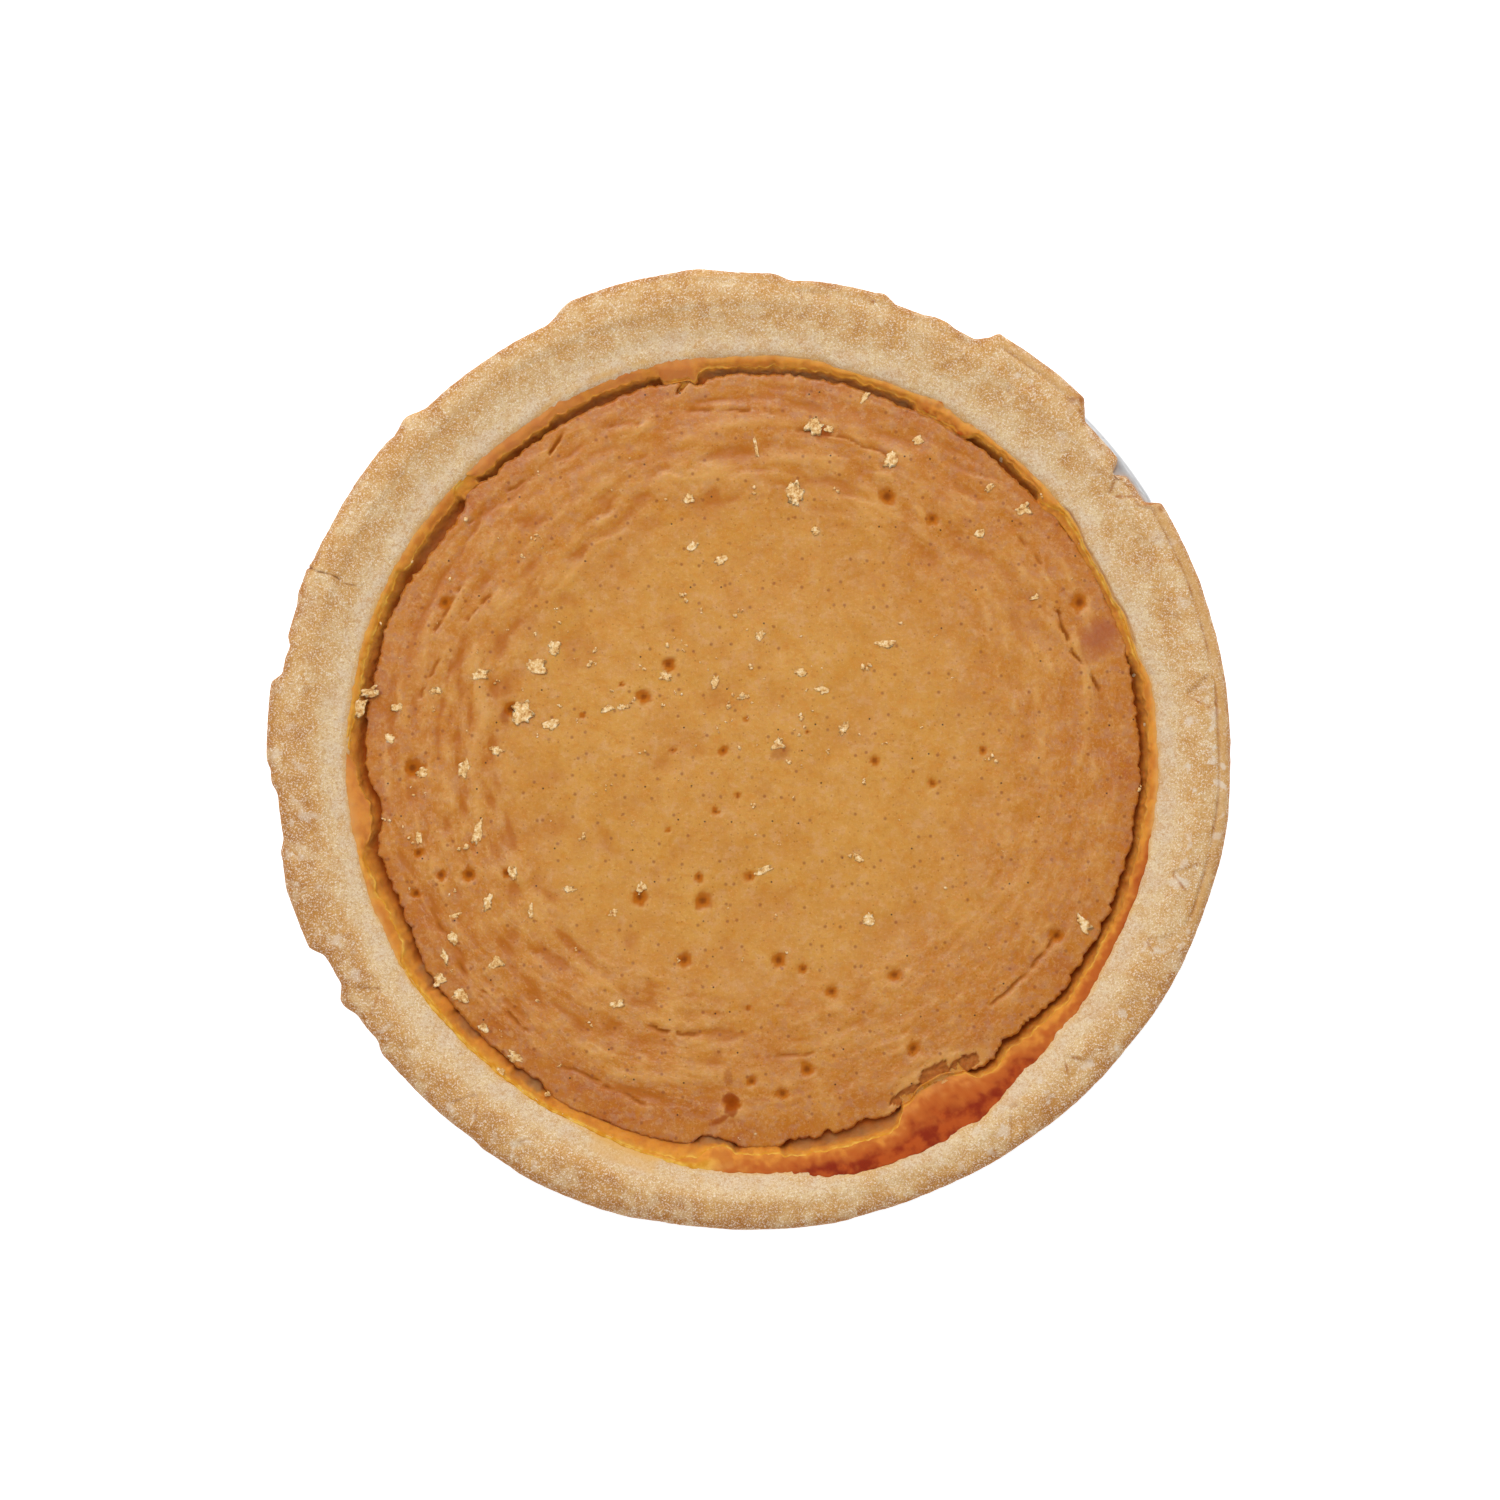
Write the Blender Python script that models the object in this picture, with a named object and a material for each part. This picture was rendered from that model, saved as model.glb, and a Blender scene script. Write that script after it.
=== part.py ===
"""Pumpkin pie in its foil tin: tin, pastry crust and baked custard filling.

Metres in the file, millimetres in the constants below. +Z is up, and the
origin is the middle of the tin's base, on the surface it stands on.
Angles are in degrees, counter-clockwise from +X seen from above.
"""

import math

import bmesh
import bpy
from mathutils import Matrix

MM = 0.001

# --- driving dimensions, in millimetres -------------------------------------

# Foil tin of the nominal nine-inch size.
TIN_RIM_R = 114.5          # outside of the rolled bead
TIN_HEIGHT = 30.6          # base to the top of the bead
TIN_BASE_R = 84.0          # outside of the base
TIN_WALL_TOP_R = 104.4     # inside of the wall where it meets the flange
TIN_FOIL = 0.4             # wall thickness
TIN_BEAD_R = 1.4           # radius of the rolled bead
TIN_CORNER = 2.4           # height of the turn between base and wall
TIN_PLEATS = 56            # pressed pleats round the wall
TIN_PLEAT_DEPTH = 0.7      # pleat, to each side of the mean wall

# Pastry crust, pressed into the tin and laid over its flange.
GAP = 0.35                 # clearance between neighbouring pieces
CRUST_BASE = 3.7           # thickness of the bottom crust
CRUST_WALL = 4.4           # thickness of the side crust low down, measured level
CRUST_EDGE_R = 117.0       # mean outside of the rim
CRUST_CREST_R = 111.0      # highest line of the rim
CRUST_TOP = 35.2           # height of the rim's crest
CRUST_SLOPE_TOP_R = 107.5  # where the rim turns down to the filling
CRUST_SLOPE_TOP = 34.3
CRUST_SLOPE_FOOT = 30.4    # level of the poured filling, where the slope ends
CRUST_DROOP = 1.3          # how far the overhang sags outside the bead
CREST_WAVES = ((3, 40.0, 0.35), (7, 110.0, 0.25))   # waves round, phase, height

# Custard filling: a lip stuck to the crust, a ring-shaped crack, and the disc.
FILL_EDGE_R = 99.0         # mean radius where the filling meets the crust
FILL_SHIFT = (0.6, -2.9)   # the filling sits off the tin's centre
CRACK_R = 94.6             # mean radius of the ring-shaped crack
CRACK_SHIFT = (0.4, -1.9)
CRACK_FLOOR = 24.8         # height of the crack's bottom
CRACK_WIDTH = 2.3
CRACK_LEAN = 0.6           # how far the crack leans in for each millimetre down
LIP_FALL = 0.42            # fall of the lip for each millimetre inwards
DISC_EDGE_Z = 28.2         # surface beside the crack
DISC_CENTRE_Z = 26.8       # the middle has sunk a little

# Departures of the crust's outer edge from a circle: from, to, offset, ramp.
EDGE_DENTS = (
    (33.0, 44.5, -4.2, 1.6),      # bitten notch that bares the tin's bead
    (46.5, 59.0, 1.5, 1.6),       # ear beside the notch
    (61.0, 73.5, -2.4, 1.6),
    (76.0, 90.0, -1.3, 4.0),
    (97.0, 111.5, 1.0, 5.0),
    (115.0, 134.0, -2.3, 2.6),
    (137.0, 167.0, -0.8, 3.0),
    (168.6, 170.0, -2.2, 1.6),    # nick
    (174.0, 180.5, 0.9, 2.0),
    (185.0, 189.0, -1.2, 3.0),
    (196.0, 203.0, 0.7, 3.5),
    (206.4, 209.2, -2.3, 2.2),    # thumb dent
    (214.0, 236.0, -0.9, 4.0),
    (243.0, 262.0, 0.4, 8.0),
    (286.0, 303.0, -0.6, 8.0),
    (330.0, 357.0, 0.5, 10.0),
)

# Departures of the foot of the crust's slope, at the level of the filling.
FOOT_DENTS = (
    (14.0, 33.0, -1.5, 4.0),
    (38.0, 57.0, -1.0, 5.0),
    (66.0, 76.0, -0.8, 4.0),
    (222.0, 246.0, -0.7, 8.0),
)

# How far the filling has run up the slope from its foot.
OVERRUNS = (
    (100.0, 120.0, 1.3, 8.0),
    (265.0, 318.0, 1.2, 14.0),
    (283.0, 301.0, 3.0, 10.0),    # boiled over and burnt
)

# Departures of the crack's path, and of its width.
CRACK_DENTS = (
    (188.0, 191.0, -1.8, 4.0),
    (245.0, 258.0, 0.9, 6.0),
)
WIDTH_DENTS = (
    (16.0, 39.0, -1.2, 3.0),      # the disc leans on its lip here
    (84.0, 96.0, 0.6, 5.0),
    (136.0, 139.0, -0.9, 2.0),
    (240.0, 258.0, -0.7, 5.0),
    (297.0, 302.0, -1.0, 3.0),    # torn bridge
)

CRUST_STEPS = 116
FILL_STEPS = CRUST_STEPS
TIN_STEPS = 2 * TIN_PLEATS


# --- shape functions ----------------------------------------------------------

def smooth(t):
    """Ease from 0 to 1."""
    t = min(1.0, max(0.0, t))
    return t * t * (3.0 - 2.0 * t)


def dents(angle, table):
    """Sum of the flat-topped dents and bulges of a table at an angle."""
    total = 0.0
    for start, end, offset, ramp in table:
        for turn in (-360.0, 0.0, 360.0):
            rise = smooth((angle - turn - start + ramp) / ramp)
            fall = smooth((end + ramp - angle + turn) / ramp)
            total += offset * min(rise, fall)
    return total


def off_centre(radius, shift, angle):
    """Radius from the origin of a circle whose centre is shifted."""
    turn = math.radians(angle)
    along = shift[0] * math.cos(turn) + shift[1] * math.sin(turn)
    across = shift[1] * math.cos(turn) - shift[0] * math.sin(turn)
    return along + math.sqrt(radius * radius - across * across)


def edge_radius(angle):
    """Outside of the crust's rim."""
    return CRUST_EDGE_R + dents(angle, EDGE_DENTS)


def foot_radius(angle):
    """Foot of the crust's slope: the shell was pressed a little off centre."""
    return off_centre(FILL_EDGE_R, FILL_SHIFT, angle) + dents(angle, FOOT_DENTS)


def meet_radius(angle):
    """Line where the filling ends on the crust."""
    return foot_radius(angle) + dents(angle, OVERRUNS)


def crack_radius(angle):
    """Middle of the ring-shaped crack."""
    return off_centre(CRACK_R, CRACK_SHIFT, angle) + dents(angle, CRACK_DENTS)


def crack_width(angle):
    return CRACK_WIDTH + dents(angle, WIDTH_DENTS)


def crest_lift(angle):
    """Gentle unevenness of the rim's height."""
    return sum(height * math.sin(math.radians(count * angle + phase))
               for count, phase, height in CREST_WAVES)


def tin_wall_radius(z):
    """Inside of the tin's wall, before its pleats."""
    low_r = TIN_BASE_R + TIN_CORNER * 0.5 - TIN_FOIL
    low_z = TIN_CORNER
    high_z = TIN_HEIGHT - 1.8
    return low_r + (z - low_z) / (high_z - low_z) * (TIN_WALL_TOP_R - low_r)


def crust_inside_radius(angle, z):
    """Inside of the side crust, straight from the bottom crust to the slope's foot."""
    low_z = TIN_FOIL + GAP + CRUST_BASE + 2.6
    low_r = tin_wall_radius(low_z) - TIN_PLEAT_DEPTH - GAP - CRUST_WALL
    share = (z - low_z) / (CRUST_SLOPE_FOOT - low_z)
    return low_r + share * (foot_radius(angle) - low_r)


def slope_height(angle, radius):
    """Height of the crust's gentle slope at a radius."""
    foot_r = foot_radius(angle)
    share = (radius - foot_r) / (CRUST_SLOPE_TOP_R - foot_r)
    return CRUST_SLOPE_FOOT + share * (CRUST_SLOPE_TOP - CRUST_SLOPE_FOOT)


# --- building -----------------------------------------------------------------

def loft(name, rings, steps):
    """A closed body from rings: each ring gives (radius, height) at an angle.

    The rings are bridged as a straight tube with flat caps, which keeps them
    aligned, and each is then moved to its place.
    """
    bm = bmesh.new()
    loops = []
    for index in range(len(rings)):
        capped = index in (0, len(rings) - 1)
        lift = Matrix.Translation((0.0, 0.0, index))
        made = bmesh.ops.create_circle(bm, cap_ends=capped, radius=1.0, segments=steps, matrix=lift)
        loops.append(made["verts"])
    for lower, upper in zip(loops, loops[1:]):
        edges = [edge for edge in bm.edges if edge.is_wire or edge.is_boundary]
        near = set(lower + upper)
        pair = [edge for edge in edges if edge.verts[0] in near and edge.verts[1] in near]
        bmesh.ops.bridge_loops(bm, edges=pair)
    for loop, ring in zip(loops, rings):
        for vert in loop:
            turn = math.atan2(vert.co.y, vert.co.x)
            radius, height = ring(math.degrees(turn) % 360.0)
            vert.co = (radius * math.cos(turn) * MM, radius * math.sin(turn) * MM, height * MM)
    bmesh.ops.triangulate(bm, faces=[face for face in bm.faces if len(face.verts) == 4])
    bmesh.ops.recalc_face_normals(bm, faces=bm.faces)
    if bm.calc_volume(signed=True) < 0.0:
        bmesh.ops.reverse_faces(bm, faces=bm.faces)
    mesh = bpy.data.meshes.new(name)
    bm.to_mesh(mesh)
    bm.free()
    mesh.shade_smooth()
    mesh.set_sharp_from_angle(angle=math.radians(40.0))
    part = bpy.data.objects.new(name, mesh)
    bpy.context.scene.collection.objects.link(part)
    return part


def circle(radius, height):
    """A plain round ring."""
    return lambda angle: (radius, height)


def finish(part, colour, roughness, metallic=0.0):
    """Give a part its own Principled material."""
    material = bpy.data.materials.new(part.name + "_finish")
    material.use_nodes = True
    shader = material.node_tree.nodes["Principled BSDF"]
    shader.inputs["Base Color"].default_value = (*colour, 1.0)
    shader.inputs["Roughness"].default_value = roughness
    shader.inputs["Metallic"].default_value = metallic
    part.data.materials.append(material)


def make_tin():
    """Thin foil dish: flat base, pleated wall, flange and rolled bead."""

    def wall(z, skin, strength):
        """Ring on the wall; skin is 0 inside and the foil's thickness outside."""
        def ring(angle):
            pleat = math.cos(math.radians(angle) * TIN_PLEATS)
            return tin_wall_radius(z) + skin + strength * TIN_PLEAT_DEPTH * pleat, z
        return ring

    bead_mid_r = TIN_RIM_R - TIN_BEAD_R
    bead_mid_z = TIN_HEIGHT - TIN_BEAD_R
    flange_top = TIN_HEIGHT - 0.5
    low_z = TIN_CORNER
    high_z = TIN_HEIGHT - 3.6
    pleat_start_z = 2.5 * TIN_CORNER
    base_flat_r = TIN_BASE_R - TIN_CORNER * 0.8

    rings = [
        circle(base_flat_r, 0.0),
        wall(low_z, TIN_FOIL, 0.0),
        wall(pleat_start_z, TIN_FOIL, 1.0),
        wall(high_z, TIN_FOIL, 1.0),
        circle(TIN_WALL_TOP_R + 1.2, flange_top - TIN_FOIL),
        circle(bead_mid_r - TIN_BEAD_R, flange_top - TIN_FOIL),
    ]
    for turn in (-120.0, -40.0, 20.0, 90.0):
        side = math.radians(turn)
        rings.append(circle(bead_mid_r + TIN_BEAD_R * math.cos(side),
                            bead_mid_z + TIN_BEAD_R * math.sin(side)))
    rings += [
        circle(bead_mid_r - TIN_BEAD_R, flange_top),
        circle(TIN_WALL_TOP_R + 0.8, flange_top),
        wall(high_z, 0.0, 1.0),
        wall(pleat_start_z, 0.0, 1.0),
        wall(low_z, 0.0, 0.0),
        circle(base_flat_r - TIN_FOIL, TIN_FOIL),
    ]
    tin = loft("foil_tin", rings, TIN_STEPS)
    finish(tin, (0.78, 0.79, 0.81), 0.32, 1.0)


def make_crust():
    """Pastry shell: bottom, side, and the thick uneven rim over the flange."""
    under_z = TIN_HEIGHT + GAP
    base_z = TIN_FOIL + GAP
    base_top = base_z + CRUST_BASE
    outside_gap = TIN_PLEAT_DEPTH + GAP
    rim_low_r = TIN_RIM_R - 2.0 * TIN_BEAD_R

    def outside(z):
        return lambda angle: (tin_wall_radius(z) - outside_gap, z)

    def inside(z, inset=0.0):
        return lambda angle: (crust_inside_radius(angle, z) - inset, z)

    def rim(inset, height, sag=0.0):
        """Ring at a distance in from the outer edge, sagging on the overhang."""
        def ring(angle):
            edge = edge_radius(angle)
            overhang = smooth((edge - TIN_RIM_R - 0.6) / 1.8)
            return edge - inset, height - sag * overhang
        return ring

    def under_edge(angle):
        """Underside just outside the bead, or short of it in the notch."""
        return min(TIN_RIM_R + 0.6, edge_radius(angle) - 1.0), under_z

    def shoulder(share, height):
        """Ring between the crest and the outer edge."""
        def ring(angle):
            radius = CRUST_CREST_R + share * (edge_radius(angle) - CRUST_CREST_R)
            return radius, height + crest_lift(angle)
        return ring

    def crest(radius, height, lift):
        return lambda angle: (radius, height + lift * crest_lift(angle))

    rings = [
        circle(TIN_BASE_R - TIN_CORNER - 1.0, base_z),
        outside(TIN_CORNER + 1.6),
        outside(TIN_HEIGHT - 4.4),
        circle(TIN_WALL_TOP_R + 0.6, under_z),
        circle(rim_low_r - 0.4, under_z),
        under_edge,
        rim(0.7, under_z + 0.5, CRUST_DROOP),
        rim(0.0, under_z + 1.9, 0.6),
        rim(0.6, under_z + 3.3, 0.4),
        shoulder(0.55, CRUST_TOP - 0.4),
        crest(CRUST_CREST_R - 2.0, CRUST_TOP, 1.0),
        crest(CRUST_SLOPE_TOP_R, CRUST_SLOPE_TOP, 0.0),
        inside(CRUST_SLOPE_FOOT),
        inside(base_top + 2.6),
        inside(base_top, 2.4),
    ]
    crust = loft("crust", rings, CRUST_STEPS)
    finish(crust, (0.66, 0.42, 0.20), 0.75)


def make_filling():
    """Baked custard: one body whose top is cut by the ring-shaped crack."""
    floor_z = TIN_FOIL + GAP + CRUST_BASE + GAP
    turn_z = floor_z - GAP + 2.6

    def beside_crust(z, gap):
        return lambda angle: (crust_inside_radius(angle, z) - gap, z)

    def lip(share):
        """Ring across the lip: 0 at the crust, 1 at the crack."""
        def ring(angle):
            outer = meet_radius(angle) - 0.6
            inner = crack_radius(angle) + 0.5 * crack_width(angle)
            across = share * (outer - inner)
            fall = LIP_FALL * across + 0.8 * share ** 4
            return outer - across, slope_height(angle, outer + 0.6) + 0.1 - fall
        return ring

    def crack(side, height, inset=0.0):
        """Ring in the crack: side 1 is its outer wall and -1 its inner one."""
        def ring(angle):
            lean = CRACK_LEAN * (DISC_EDGE_Z - height)
            return crack_radius(angle) + 0.5 * side * crack_width(angle) - lean - inset, height
        return ring

    def disc(radius):
        """Ring on the disc's gently sunken top."""
        share = radius / CRACK_R
        height = DISC_CENTRE_Z + (DISC_EDGE_Z - DISC_CENTRE_Z) * share ** 2
        return lambda angle: (crack_radius(angle) * share, height)

    rings = [
        beside_crust(floor_z, 3.2),
        beside_crust(turn_z, GAP + 0.1),
        beside_crust(CRUST_SLOPE_FOOT - 0.1, 0.55),
        lip(0.0),
        lip(0.5),
        lip(1.0),
        crack(0.5, CRACK_FLOOR),
        crack(-0.6, CRACK_FLOOR),
        crack(-1.0, DISC_EDGE_Z - 1.0),
        crack(-1.0, DISC_EDGE_Z - 0.1, 0.9),
        disc(70.0),
        disc(42.0),
        disc(16.0),
    ]
    filling = loft("filling", rings, FILL_STEPS)
    finish(filling, (0.55, 0.25, 0.06), 0.42)


def main():
    for old in list(bpy.data.objects):
        bpy.data.objects.remove(old, do_unlink=True)
    make_tin()
    make_crust()
    make_filling()


main()
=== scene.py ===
"""Dresses the pumpkin pie: foil tin, baked pastry rim, cracked custard and crumbs.

Metres for what Blender reads, millimetres in the shape functions (names in _mm
or plain radii and heights), degrees counter-clockwise from +X seen from above.
"""

import math

import bmesh
import bpy
import numpy as np
from bpy.props import FloatProperty, FloatVectorProperty, IntProperty, PointerProperty
from mathutils import Euler, Matrix, Vector


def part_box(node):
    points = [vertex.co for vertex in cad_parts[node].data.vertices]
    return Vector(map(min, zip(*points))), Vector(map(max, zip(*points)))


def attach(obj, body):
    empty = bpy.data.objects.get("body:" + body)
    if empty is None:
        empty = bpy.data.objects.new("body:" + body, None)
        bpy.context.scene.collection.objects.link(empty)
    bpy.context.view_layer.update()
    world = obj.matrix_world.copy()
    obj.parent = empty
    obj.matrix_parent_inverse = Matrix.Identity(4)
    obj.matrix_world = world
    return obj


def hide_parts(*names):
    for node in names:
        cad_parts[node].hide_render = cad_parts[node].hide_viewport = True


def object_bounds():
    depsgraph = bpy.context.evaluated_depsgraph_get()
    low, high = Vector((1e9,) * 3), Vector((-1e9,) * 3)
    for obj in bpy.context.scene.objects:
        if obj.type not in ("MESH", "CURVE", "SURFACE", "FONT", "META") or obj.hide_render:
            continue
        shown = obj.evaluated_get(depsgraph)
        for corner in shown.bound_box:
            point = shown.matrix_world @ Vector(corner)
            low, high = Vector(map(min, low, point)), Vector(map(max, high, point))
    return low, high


bl_info = {
    "name": "Pumpkin Pie Dresser",
    "version": (1, 0, 0),
    "blender": (4, 5, 0),
    "location": "View3D > Sidebar > Pie",
    "description": "Builds the baked surfaces of a pumpkin pie round its fixed frame",
    "category": "Object",
}

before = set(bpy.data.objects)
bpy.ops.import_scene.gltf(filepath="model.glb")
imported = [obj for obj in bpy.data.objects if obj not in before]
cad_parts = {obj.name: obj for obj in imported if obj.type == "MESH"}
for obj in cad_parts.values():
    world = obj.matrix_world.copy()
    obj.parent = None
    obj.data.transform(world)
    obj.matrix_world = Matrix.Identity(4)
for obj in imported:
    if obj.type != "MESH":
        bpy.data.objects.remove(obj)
CAD_LOW, CAD_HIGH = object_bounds()
TIN_LOW, TIN_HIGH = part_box("foil_tin")
CRUST_LOW, CRUST_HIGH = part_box("crust")

MM = 0.001


def linear(code):
    """A colour from its sRGB hex code, as linear RGBA."""
    channels = [int(code[i:i + 2], 16) / 255.0 for i in (1, 3, 5)]
    return tuple(c / 12.92 if c <= 0.04045 else ((c + 0.055) / 1.055) ** 2.4
                 for c in channels) + (1.0,)


# --- dimensions, in millimetres ----------------------------------------------------

TIN_RIM_R = TIN_HIGH.x / MM
TIN_HEIGHT = TIN_HIGH.z / MM
TIN_BASE_R = 84.0
TIN_WALL_TOP_R = 104.4
TIN_FOIL = 0.4
TIN_BEAD_R = 1.4
TIN_CORNER = 2.4
TIN_PLEATS = 56
TIN_PLEAT_DEPTH = 0.7

GAP = 0.35
CRUST_BASE = 3.7
CRUST_WALL = 4.4
CRUST_EDGE_R = 117.0
CRUST_CREST_R = 111.0
CRUST_TOP = 34.9
CRUST_SLOPE_TOP_R = 107.5
CRUST_SLOPE_TOP = 34.1
CRUST_SLOPE_FOOT = 30.4
CRUST_DROOP = 1.2
CREST_WAVES = ((3, 40.0, 0.35), (7, 110.0, 0.25))

FILL_EDGE_R = 99.0
FILL_SHIFT = (0.6, -2.9)
DISC_R = 93.8
DISC_SHIFT = (0.4, -1.9)
CRACK_FLOOR = 24.9
CRACK_LEAN = 0.6
LIP_FALL = 0.42
DISC_EDGE_Z = 28.2
DISC_CENTRE_Z = 26.9

# Flat-topped departures from a plain curve: from, to, amount, ramp (degrees, mm).
EDGE_DENTS = (
    (32.4, 37.0, -3.6, 1.6),
    (37.6, 44.2, -2.7, 1.8),
    (46.6, 59.0, 1.3, 0.9),
    (61.6, 71.6, -2.9, 2.6),
    (65.6, 66.6, 0.7, 2.0),
    (75.0, 84.5, -1.6, 3.0),
    (86.0, 90.0, -0.6, 5.0),
    (97.0, 111.0, 0.9, 4.0),
    (116.0, 133.0, -2.3, 4.0),
    (137.2, 138.4, -0.5, 1.6),
    (139.0, 166.0, -1.0, 3.0),
    (158.0, 160.6, 0.6, 2.0),
    (167.6, 170.4, -1.6, 1.6),
    (172.0, 181.0, 0.8, 1.5),
    (185.6, 190.5, -1.3, 2.0),
    (197.0, 203.5, 0.8, 4.0),
    (206.0, 209.6, -2.3, 2.0),
    (214.4, 217.4, -1.6, 2.4),
    (219.0, 234.0, -0.7, 3.0),
    (243.0, 254.0, 0.6, 6.0),
    (286.0, 304.0, -0.5, 6.0),
    (328.0, 352.0, 0.6, 8.0),
)
RIM_DENTS = (
    (32.5, 44.5, 1.5, 4.0),
)
FOOT_DENTS = (
    (14.0, 33.0, -1.5, 4.0),
    (23.0, 31.0, -0.8, 3.0),
    (38.0, 57.0, -1.0, 5.0),
    (66.0, 76.0, -0.8, 4.0),
    (222.0, 246.0, -0.7, 8.0),
)
OVERRUNS = (
    (76.0, 90.0, 0.3, 5.0),
    (98.0, 182.0, 0.5, 5.0),
    (101.0, 117.0, 1.5, 6.0),
    (265.0, 318.0, 1.2, 14.0),
    (283.0, 301.0, 3.0, 10.0),
)
# The disc's torn edge, the open crack beside it and the torn wall of the lip.
DISC_DENTS = (
    (-42.0, 12.0, 1.1, 8.0),
    (16.0, 37.0, 1.2, 3.0),
    (97.5, 98.5, -1.0, 1.0),
    (136.0, 138.0, 1.2, 1.5),
    (141.0, 151.0, -1.0, 3.0),
    (157.0, 180.0, 0.75, 4.0),
    (188.0, 191.0, -2.4, 3.5),
    (196.0, 208.0, -0.5, 4.0),
    (214.0, 236.0, 0.9, 5.0),
    (241.0, 260.0, 2.4, 4.0),
    (263.0, 266.0, -0.7, 2.0),
    (269.0, 274.0, 1.4, 2.0),
    (293.0, 303.5, -1.3, 2.0),
    (311.0, 319.0, -0.9, 3.0),
)
GAP_MEAN = 1.9
GAP_DENTS = (
    (14.5, 40.5, -1.85, 1.5),
    (55.5, 63.5, -1.8, 1.5),
    (64.0, 96.0, -0.5, 2.0),
    (98.5, 103.0, -1.9, 0.8),
    (122.5, 133.5, -0.7, 1.5),
    (135.6, 138.6, -1.85, 0.8),
    (141.0, 153.0, 0.8, 3.0),
    (157.0, 174.0, -0.6, 5.0),
    (178.0, 201.0, 0.5, 4.0),
    (204.0, 214.0, -0.4, 4.0),
    (217.5, 221.0, -1.2, 1.2),
    (227.0, 233.0, -1.2, 1.2),
    (240.0, 261.0, -1.6, 2.0),
    (269.0, 274.0, -1.6, 1.2),
    (277.0, 290.0, 0.8, 2.0),
    (293.5, 303.5, -1.85, 1.2),
)
WALL_MEAN = 0.3
WALL_DENTS = (
    (15.0, 38.5, 1.0, 3.0),
    (136.0, 138.5, 2.2, 1.2),
    (156.0, 180.0, 0.8, 4.0),
    (196.0, 212.0, 1.4, 3.0),
    (213.0, 262.0, 2.4, 4.0),
    (269.0, 274.0, 1.0, 2.0),
    (276.0, 291.0, 0.8, 2.0),
)
# Where the crack is shallow and shows grey-brown instead of dark.
GREY_PARTS = (
    (66.0, 97.0, 0.8, 2.0),
    (106.0, 120.0, 0.4, 2.0),
    (142.0, 150.0, 0.35, 2.0),
    (213.5, 216.0, 0.8, 1.0),
    (222.5, 226.0, 0.9, 1.0),
    (234.5, 238.0, 0.9, 1.0),
    (263.0, 267.0, 0.9, 1.5),
    (277.0, 291.0, 0.7, 2.0),
)
# Where the disc's edge is torn more coarsely.
COARSE_PARTS = (
    (-4.0, 14.0, 0.5, 4.0),
    (94.0, 106.0, 0.8, 3.0),
    (128.0, 214.0, 0.5, 6.0),
    (278.0, 344.0, 0.8, 6.0),
)
# How yellow the lip is, and how burnt its top.
YELLOW_PARTS = (
    (15.0, 40.0, 0.9, 3.0),
    (55.0, 97.0, 0.5, 3.0),
    (136.0, 138.5, 0.9, 1.5),
    (148.0, 178.0, 0.9, 4.0),
    (198.0, 262.0, 1.0, 6.0),
    (268.0, 291.0, 0.8, 3.0),
    (304.0, 330.0, 0.35, 6.0),
)
BURNT_PARTS = (
    (272.0, 343.0, 0.42, 9.0),
    (281.0, 308.0, 0.58, 8.0),
)
PINK_PARTS = (
    (98.0, 135.0, 0.8, 5.0),
    (182.0, 200.0, 0.6, 6.0),
    (292.0, 304.0, 0.7, 5.0),
)
# Where the rim's outer lip is rolled up behind a groove.
ROLL_PARTS = (
    (-20.0, 30.0, 1.0, 3.0),
    (47.5, 57.5, 0.9, 1.5),
    (66.0, 95.0, 0.25, 6.0),
)
# Where the pressed V marks of the rim show, floury.
MARK_STEP = 9.35
MARK_FIRST = 7.2
MARK_PARTS = (
    (0.0, 60.0, 1.0, 8.0),
    (76.0, 88.0, 0.6, 5.0),
    (200.0, 236.0, 0.8, 8.0),
    (236.0, 300.0, 0.35, 10.0),
    (306.0, 352.0, 0.9, 8.0),
)

# Steam pits in the custard: x, y, radius.
PITS = (
    (-20, 21, 1.5), (-26, 13, 1.6), (-31.5, 16, 0.8), (-6.5, 0, 1.2), (-19, 0, 0.8),
    (-3, -11, 0.8), (-1, 7.5, 0.7), (14, 4.5, 0.7), (30.5, -2.5, 1.2), (44.5, -8, 1.2),
    (57, 0, 1.0), (-8.5, -15, 1.0), (-20, -19.5, 0.8), (-12.5, -31, 1.2), (-11.5, -37, 1.9),
    (0, -31, 1.2), (-27, -36, 1.8), (-16, -51.5, 1.6), (7, -51.5, 1.7), (13, -53.5, 1.2),
    (20, -59, 1.7), (35.5, -55, 1.5), (-0.5, -63, 0.8), (14, -78, 1.6), (0.5, -81, 1.3),
    (8, -84, 1.6), (40, -73, 1.6), (-41, 8.5, 0.8), (-58.5, 10, 1.7), (-82.5, -4.5, 1.9),
    (-81, -25, 1.1), (-75.5, -30.5, 1.4), (-68.5, -30.5, 1.6), (-81.5, -35, 1.2),
    (-59.5, -30, 1.2), (-74.5, 36, 1.5), (33.5, 62, 1.9), (44.5, 56.5, 1.5),
    (80.5, 36, 1.8), (75, -45.5, 1.6), (-4.6, -86.6, 1.8),
)
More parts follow.
